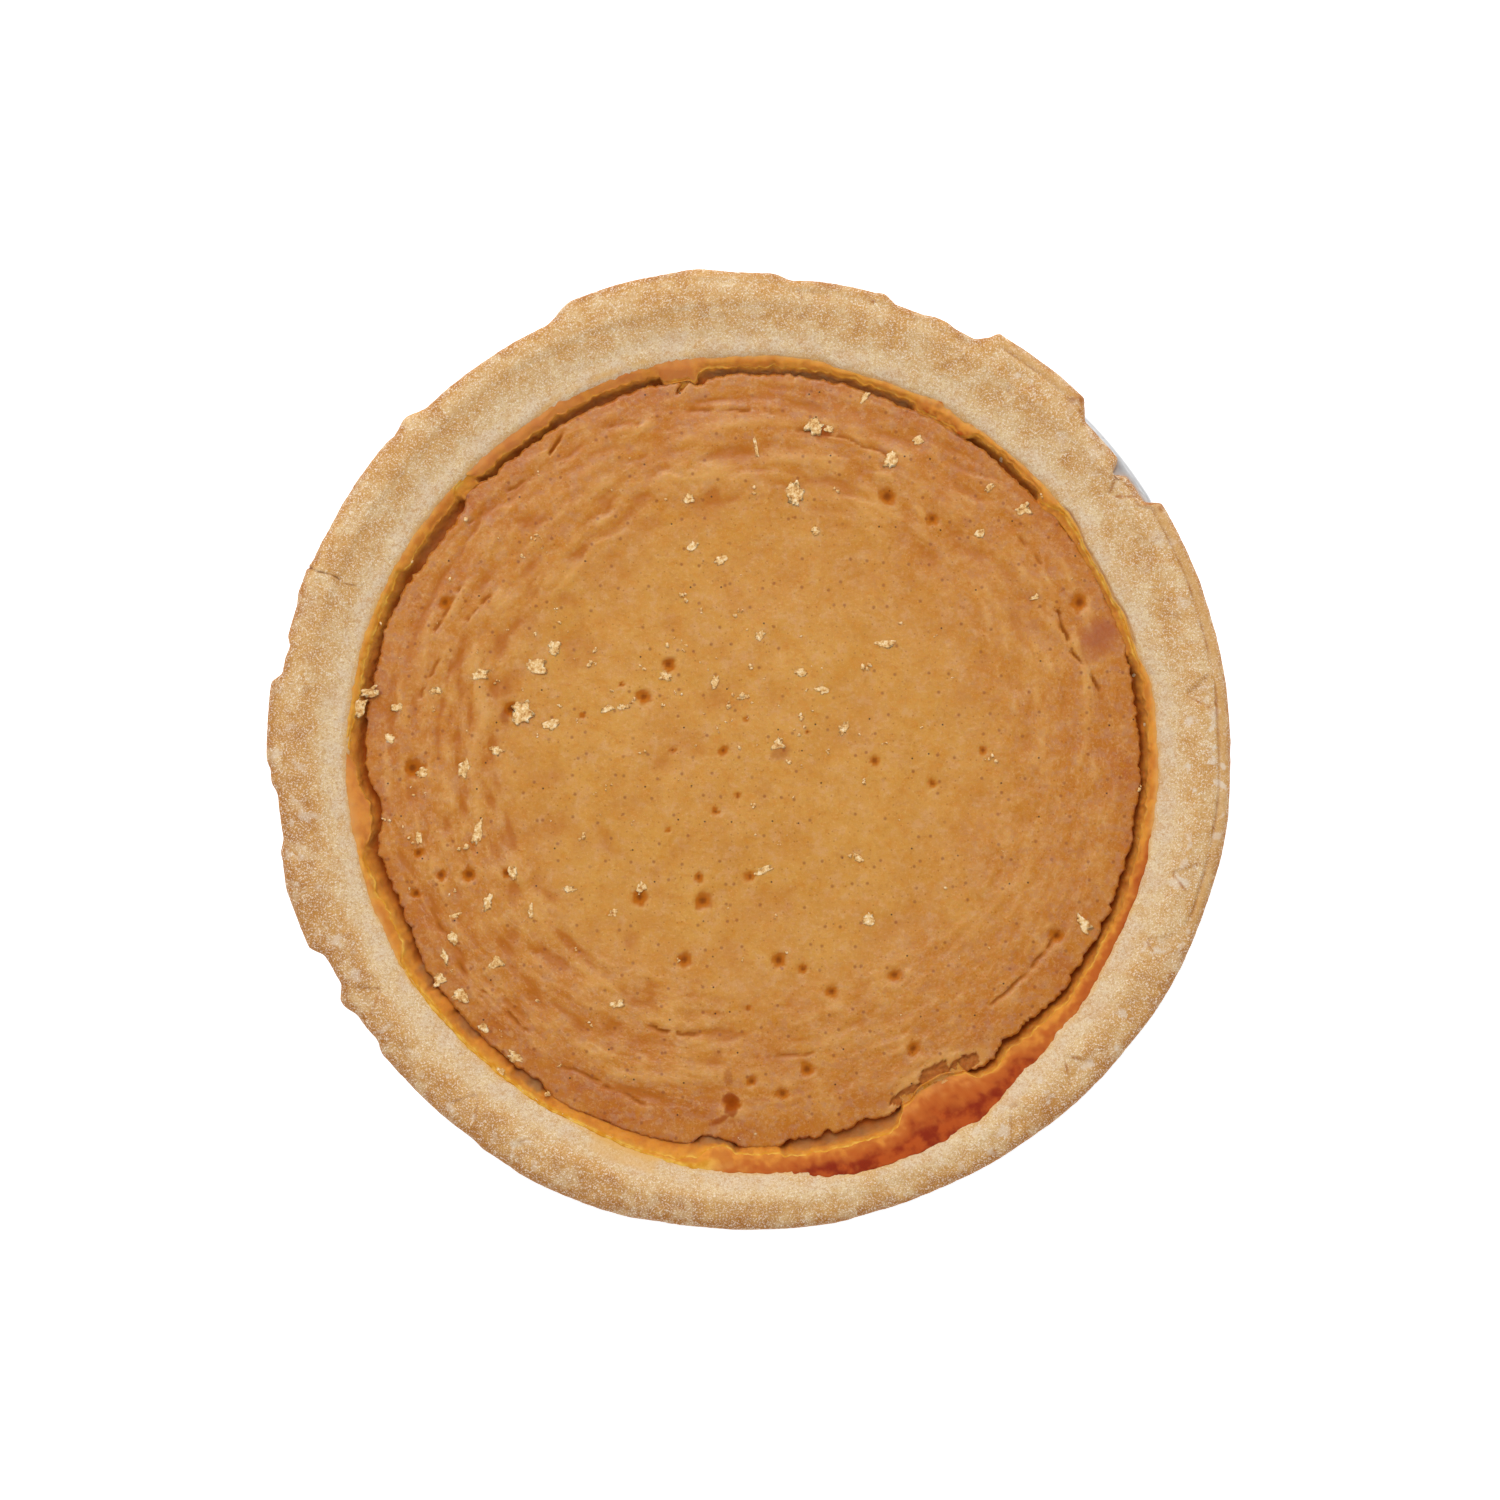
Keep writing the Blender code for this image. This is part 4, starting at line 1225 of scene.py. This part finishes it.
class PIE_OT_custard_lip(bpy.types.Operator):
    """Build the lip of custard stuck to the crust, and the floor of the crack"""
    bl_idname = "pie.custard_lip"
    bl_label = "Custard lip"

    def execute(self, context):
        settings = context.scene.pie_custard
        stations = spread([(0, 2, 4), (2, 6, 24), (6, 9, 22), (9, 13, 6)])
        piece, angle, along, spots = swept("custard_lip", stations, LIP_STEPS, lip_rings, False)
        inner, gap, outer, edge, meet = lip_numbers(angle)
        wall = smooth((along - 2.6) / 0.8) * smooth((5.9 - along) / 0.5)
        top = smooth((along - 5.5) / 0.5) * smooth((9.4 - along) / 0.4)
        amount = wall * 0.26 * rough(spots, 1.6, 81) + top * (0.12 * rough(spots, 5.0, 82)
                                                            + 0.09 * rough(spots, 1.7, 83, 2))
        crumple = dents(angle, ((56.5, 62.5, 1.0, 1.5),)) * smooth((along - 4.5) / 1.0)
        lumps = rough(spots, 2.6, 90)
        push_out(piece.data, amount + 0.6 * crumple * lumps)

        arc = arc_points(angle)
        yellow = dents(angle, YELLOW_PARTS) + 0.15 + 0.3 * noise(arc, 8.0, 84)
        bare = smooth((3.4 - (meet - edge)) / 2.6)
        across = np.hypot(spots[:, 0], spots[:, 1]) - edge
        across = np.clip(across / np.maximum(meet - edge, 0.3), 0.0, 1.0)
        # Painted light and shade: the lip is yellow where torn, but on the crack's wall the yellow is kept to the
        # upper part, where light reaches, and the lower wall stays darker orange.
        lit = smooth((along - 4.2) / 1.4)
        outward = dents(angle, ((216.0, 263.0, 1.0, 5.0),))
        side = 1.0 - 0.7 * across * (1.0 - outward) - 0.8 * outward * smooth((0.6 - across) / 0.5)
        bare = np.maximum(bare, outward * smooth((across - 0.3) / 0.4))
        yellow = np.clip(yellow, 0.0, 1.0) * np.maximum(wall * lit, bare * top * side)
        burn = dents(angle, BURNT_PARTS) * (0.2 + 0.95 * smooth(across)) * top
        burn += (0.2 * rough(spots, 5.0, 85) + 0.22 * rough(spots, 1.9, 89, 2)) * smooth(burn * 8.0)
        pink = dents(angle, PINK_PARTS) * top * smooth(0.7 + noise(spots, 7.0, 87))
        grey = dents(angle, GREY_PARTS) * smooth((4.3 - along) / 1.0) * smooth((along - 1.2) / 1.4)
        # Painted shade: the crack's floor, the foot of its wall and the hollows among the crumpled lumps are
        # painted dark red-brown.
        deep = smooth((4.5 - along) / 1.8) * smooth(gap / 0.6) * 0.9
        deep += crumple * smooth(-1.6 * lumps - 0.1)
        thin = top * smooth((across - 0.45) / 0.55) * smooth(1.0 - 2.5 * burn)
        paint(piece.data, warm=0.6 + 0.0 * along, lip=np.maximum(top, 0.8 * wall), pink=pink,
              thin=thin * (0.8 + 0.5 * noise(arc, 2.5, 88)), dull=1.0 - 0.3 * top,
              yellow=yellow, burn=np.clip(burn, 0.0, 1.0), deep=np.clip(deep - 0.3 * grey, 0.0, 1.0),
              grey=np.clip(grey * (0.7 + 0.6 * noise(arc, 3.0, 86)), 0.0, 1.0))
        weld(piece)
        piece.data.materials.append(bpy.data.materials["baked_pumpkin_custard"])
        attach(piece, "root")
        return {"FINISHED"}


def custard_height(x, y):
    """Height of what a crumb lies on: the disc, or the lip beside it."""
    radius = np.hypot(x, y)
    angle = np.degrees(np.arctan2(y, x)) % 360.0
    inner, gap, outer, edge, meet = lip_numbers(angle)
    lip = slope_height(angle, meet) - LIP_FALL * np.maximum(0.0, meet - radius)
    return np.where(radius < disc_edge(angle), disc_surface(x, y)[0], lip)


def scatter(name, chips, subdivisions, ragged, seed):
    """Many chips of pastry in one object, each row: x, y, length, width, height, turn."""
    chips = np.asarray(chips, float)
    bm = bmesh.new()
    bmesh.ops.create_icosphere(bm, subdivisions=subdivisions, radius=1.0)
    grain = bpy.data.meshes.new(name)
    bm.to_mesh(grain)
    bm.clear()
    for _ in chips:
        bm.from_mesh(grain)
    bpy.data.meshes.remove(grain)
    piece = to_object(bm, name)
    unit = places(piece.data)
    which = np.repeat(np.arange(len(chips)), len(unit) // len(chips))
    x, y, length, width, height, turn = chips[which].T
    side = np.arctan2(unit[:, 1], unit[:, 0])
    around = np.stack([np.cos(side), np.sin(side), 0.0 * side], axis=1) + which[:, None] * 7.7
    outline = 1.0 + ragged * noise(around, 1.1, seed) + 1.0 * ragged * noise(around, 0.4, seed + 1)
    spread_out = np.hypot(unit[:, 0], unit[:, 1]) ** 0.8 * outline * 0.5
    along, across = spread_out * np.cos(side) * length, spread_out * np.sin(side) * width
    crumb = 1.0 + 1.6 * ragged * noise(unit + which[:, None] * 7.7, 0.45, seed + 2)
    up = np.sign(unit[:, 2]) * np.abs(unit[:, 2]) ** 0.5 * 0.5 * height * crumb
    lean = 0.3 * np.sin(which * 5.3)
    turn = np.radians(turn)
    ground = custard_height(chips[:, 0], chips[:, 1])[which]
    spots = np.stack([x + along * np.cos(turn) - across * np.sin(turn),
                      y + along * np.sin(turn) + across * np.cos(turn),
                      ground + 0.3 * height + up + lean * along * height], axis=1)
    place(piece.data, spots * MM)
    piece.data.shade_smooth()
    return piece


class PIE_OT_flakes(bpy.types.Operator):
    """Scatter the flakes and small crumbs of pastry on the custard"""
    bl_idname = "pie.flakes"
    bl_label = "Flakes and crumbs"

    def execute(self, context):
        settings = context.scene.pie_crumbs
        random = np.random.RandomState(settings.seed)
        chips = [(x, y, 1.22 * length, 1.2 * width, 0.16 + 0.04 * width, turn)
                 for x, y, length, width, turn in FLAKES]
        flakes = scatter("pastry_flakes", chips, 3, 0.6, 91)
        chips = []
        while len(chips) < settings.small_crumbs:
            reach = 99.0 * math.sqrt(random.uniform(0.0, 1.0))
            side = random.uniform(0.0, math.tau)
            x, y = reach * math.cos(side), reach * math.sin(side)
            if random.uniform(0.0, 1.0) < 0.3:
                x, y = random.normal(-8.0, 22.0), random.normal(16.0, 14.0)
            elif x > random.uniform(-70.0, 130.0):
                continue
            size = 0.45 + 0.9 * random.uniform(0.0, 1.0) ** 2.0
            for _ in range(random.randint(1, 4)):
                long = size * random.uniform(0.6, 1.2)
                chips.append((x + random.uniform(-0.8, 0.8) * size,
                              y + random.uniform(-0.8, 0.8) * size,
                              long, long * random.uniform(0.5, 0.9), 0.5 * long,
                              random.uniform(0.0, 360.0)))
        crumbs = scatter("pastry_crumbs", chips, 1, 0.6, 95)
        material = pastry_crumb(settings)
        for piece in (flakes, crumbs):
            piece.data.materials.append(material)
            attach(piece, "root")
        return {"FINISHED"}


class PIE_OT_stage(bpy.types.Operator):
    """Set the pale floor, the soft light and the camera above the pie"""
    bl_idname = "pie.stage"
    bl_label = "Stage"

    def execute(self, context):
        scene = context.scene
        bm = bmesh.new()
        bmesh.ops.create_grid(bm, x_segments=1, y_segments=1, size=3.0)
        floor = to_object(bm, "floor")
        material, tree, shader, spot = new_material("lit_white_acrylic")
        shader.inputs["Base Color"].default_value = linear("#FDFDFD")
        shader.inputs["Emission Color"].default_value = linear("#FFFFFF")
        shader.inputs["Emission Strength"].default_value = 0.6
        shader.inputs["Roughness"].default_value = 0.9
        shader.inputs["Specular IOR Level"].default_value = 0.1
        floor.data.materials.append(material)

        def lamp(name, spot, size, power):
            data = bpy.data.lights.new(name, "AREA")
            data.shape = "DISK"
            data.size = size
            data.energy = power
            made = bpy.data.objects.new(name, data)
            made.location = spot
            made.rotation_euler = (-Vector(spot)).to_track_quat("-Z", "Y").to_euler()
            scene.collection.objects.link(made)

        lamp("soft_key", (-0.22, 0.85, 1.3), 1.4, 18.5)

        world = bpy.data.worlds.new("studio")
        world.use_nodes = True
        tree = world.node_tree
        sky = add(tree, "ShaderNodeTexCoord").outputs["Generated"]
        up = add(tree, "ShaderNodeSeparateXYZ", {0: sky}).outputs["Z"]
        shade = add(tree, "ShaderNodeMapRange", {"Value": up, "From Min": 0.35, "From Max": 1.0,
                                                 "To Min": 0.9, "To Max": 0.2})
        back = tree.nodes["Background"]
        back.inputs["Color"].default_value = linear("#FFFFFF")
        tree.links.new(shade.outputs["Result"], back.inputs["Strength"])
        scene.world = world
        scene.view_settings.view_transform = "Standard"

        data = bpy.data.cameras.new("overhead")
        camera = bpy.data.objects.new("overhead", data)
        scene.collection.objects.link(camera)
        distance = 1.5
        camera.location = (0.0, 0.0, distance)
        view_width = 1.553 * (CAD_HIGH.x - CAD_LOW.x)
        widest = CAD_HIGH.z - 3.0 * MM
        data.lens = data.sensor_width * (distance - widest) / view_width
        scene.camera = camera
        return {"FINISHED"}


class PIE_PT_panel(bpy.types.Panel):
    """The pie's pieces and their settings"""
    bl_idname = "PIE_PT_panel"
    bl_label = "Pumpkin pie"
    bl_space_type = "VIEW_3D"
    bl_region_type = "UI"
    bl_category = "Pie"

    def draw(self, context):
        for group, operators in PANEL_ROWS:
            box = self.layout.box()
            for name in operators:
                box.operator(name)
            if group:
                settings = getattr(context.scene, group)
                for key in settings.__annotations__:
                    box.prop(settings, key)


PANEL_ROWS = (
    ("pie_tin", ("pie.foil_tin",)),
    ("pie_crust", ("pie.crust",)),
    ("pie_custard", ("pie.custard_disc", "pie.custard_lip")),
    ("pie_crumbs", ("pie.flakes",)),
    ("", ("pie.stage",)),
)
GROUPS = (
    ("pie_tin", PieTinSettings),
    ("pie_crust", PieCrustSettings),
    ("pie_custard", PieCustardSettings),
    ("pie_crumbs", PieCrumbSettings),
)
OPERATORS = (
    PIE_OT_foil_tin, PIE_OT_crust, PIE_OT_custard_disc, PIE_OT_custard_lip, PIE_OT_flakes,
    PIE_OT_stage,
)


def register():
    for name, group in GROUPS:
        bpy.utils.register_class(group)
        setattr(bpy.types.Scene, name, PointerProperty(type=group))
    for item in OPERATORS + (PIE_PT_panel,):
        bpy.utils.register_class(item)


def unregister():
    for item in (PIE_PT_panel,) + OPERATORS:
        bpy.utils.unregister_class(item)
    for name, group in GROUPS:
        delattr(bpy.types.Scene, name)
        bpy.utils.unregister_class(group)


def main():
    register()
    for _, names in PANEL_ROWS:
        for name in names:
            category, operator = name.split(".")
            getattr(getattr(bpy.ops, category), operator)()


if __name__ == "__main__":
    main()
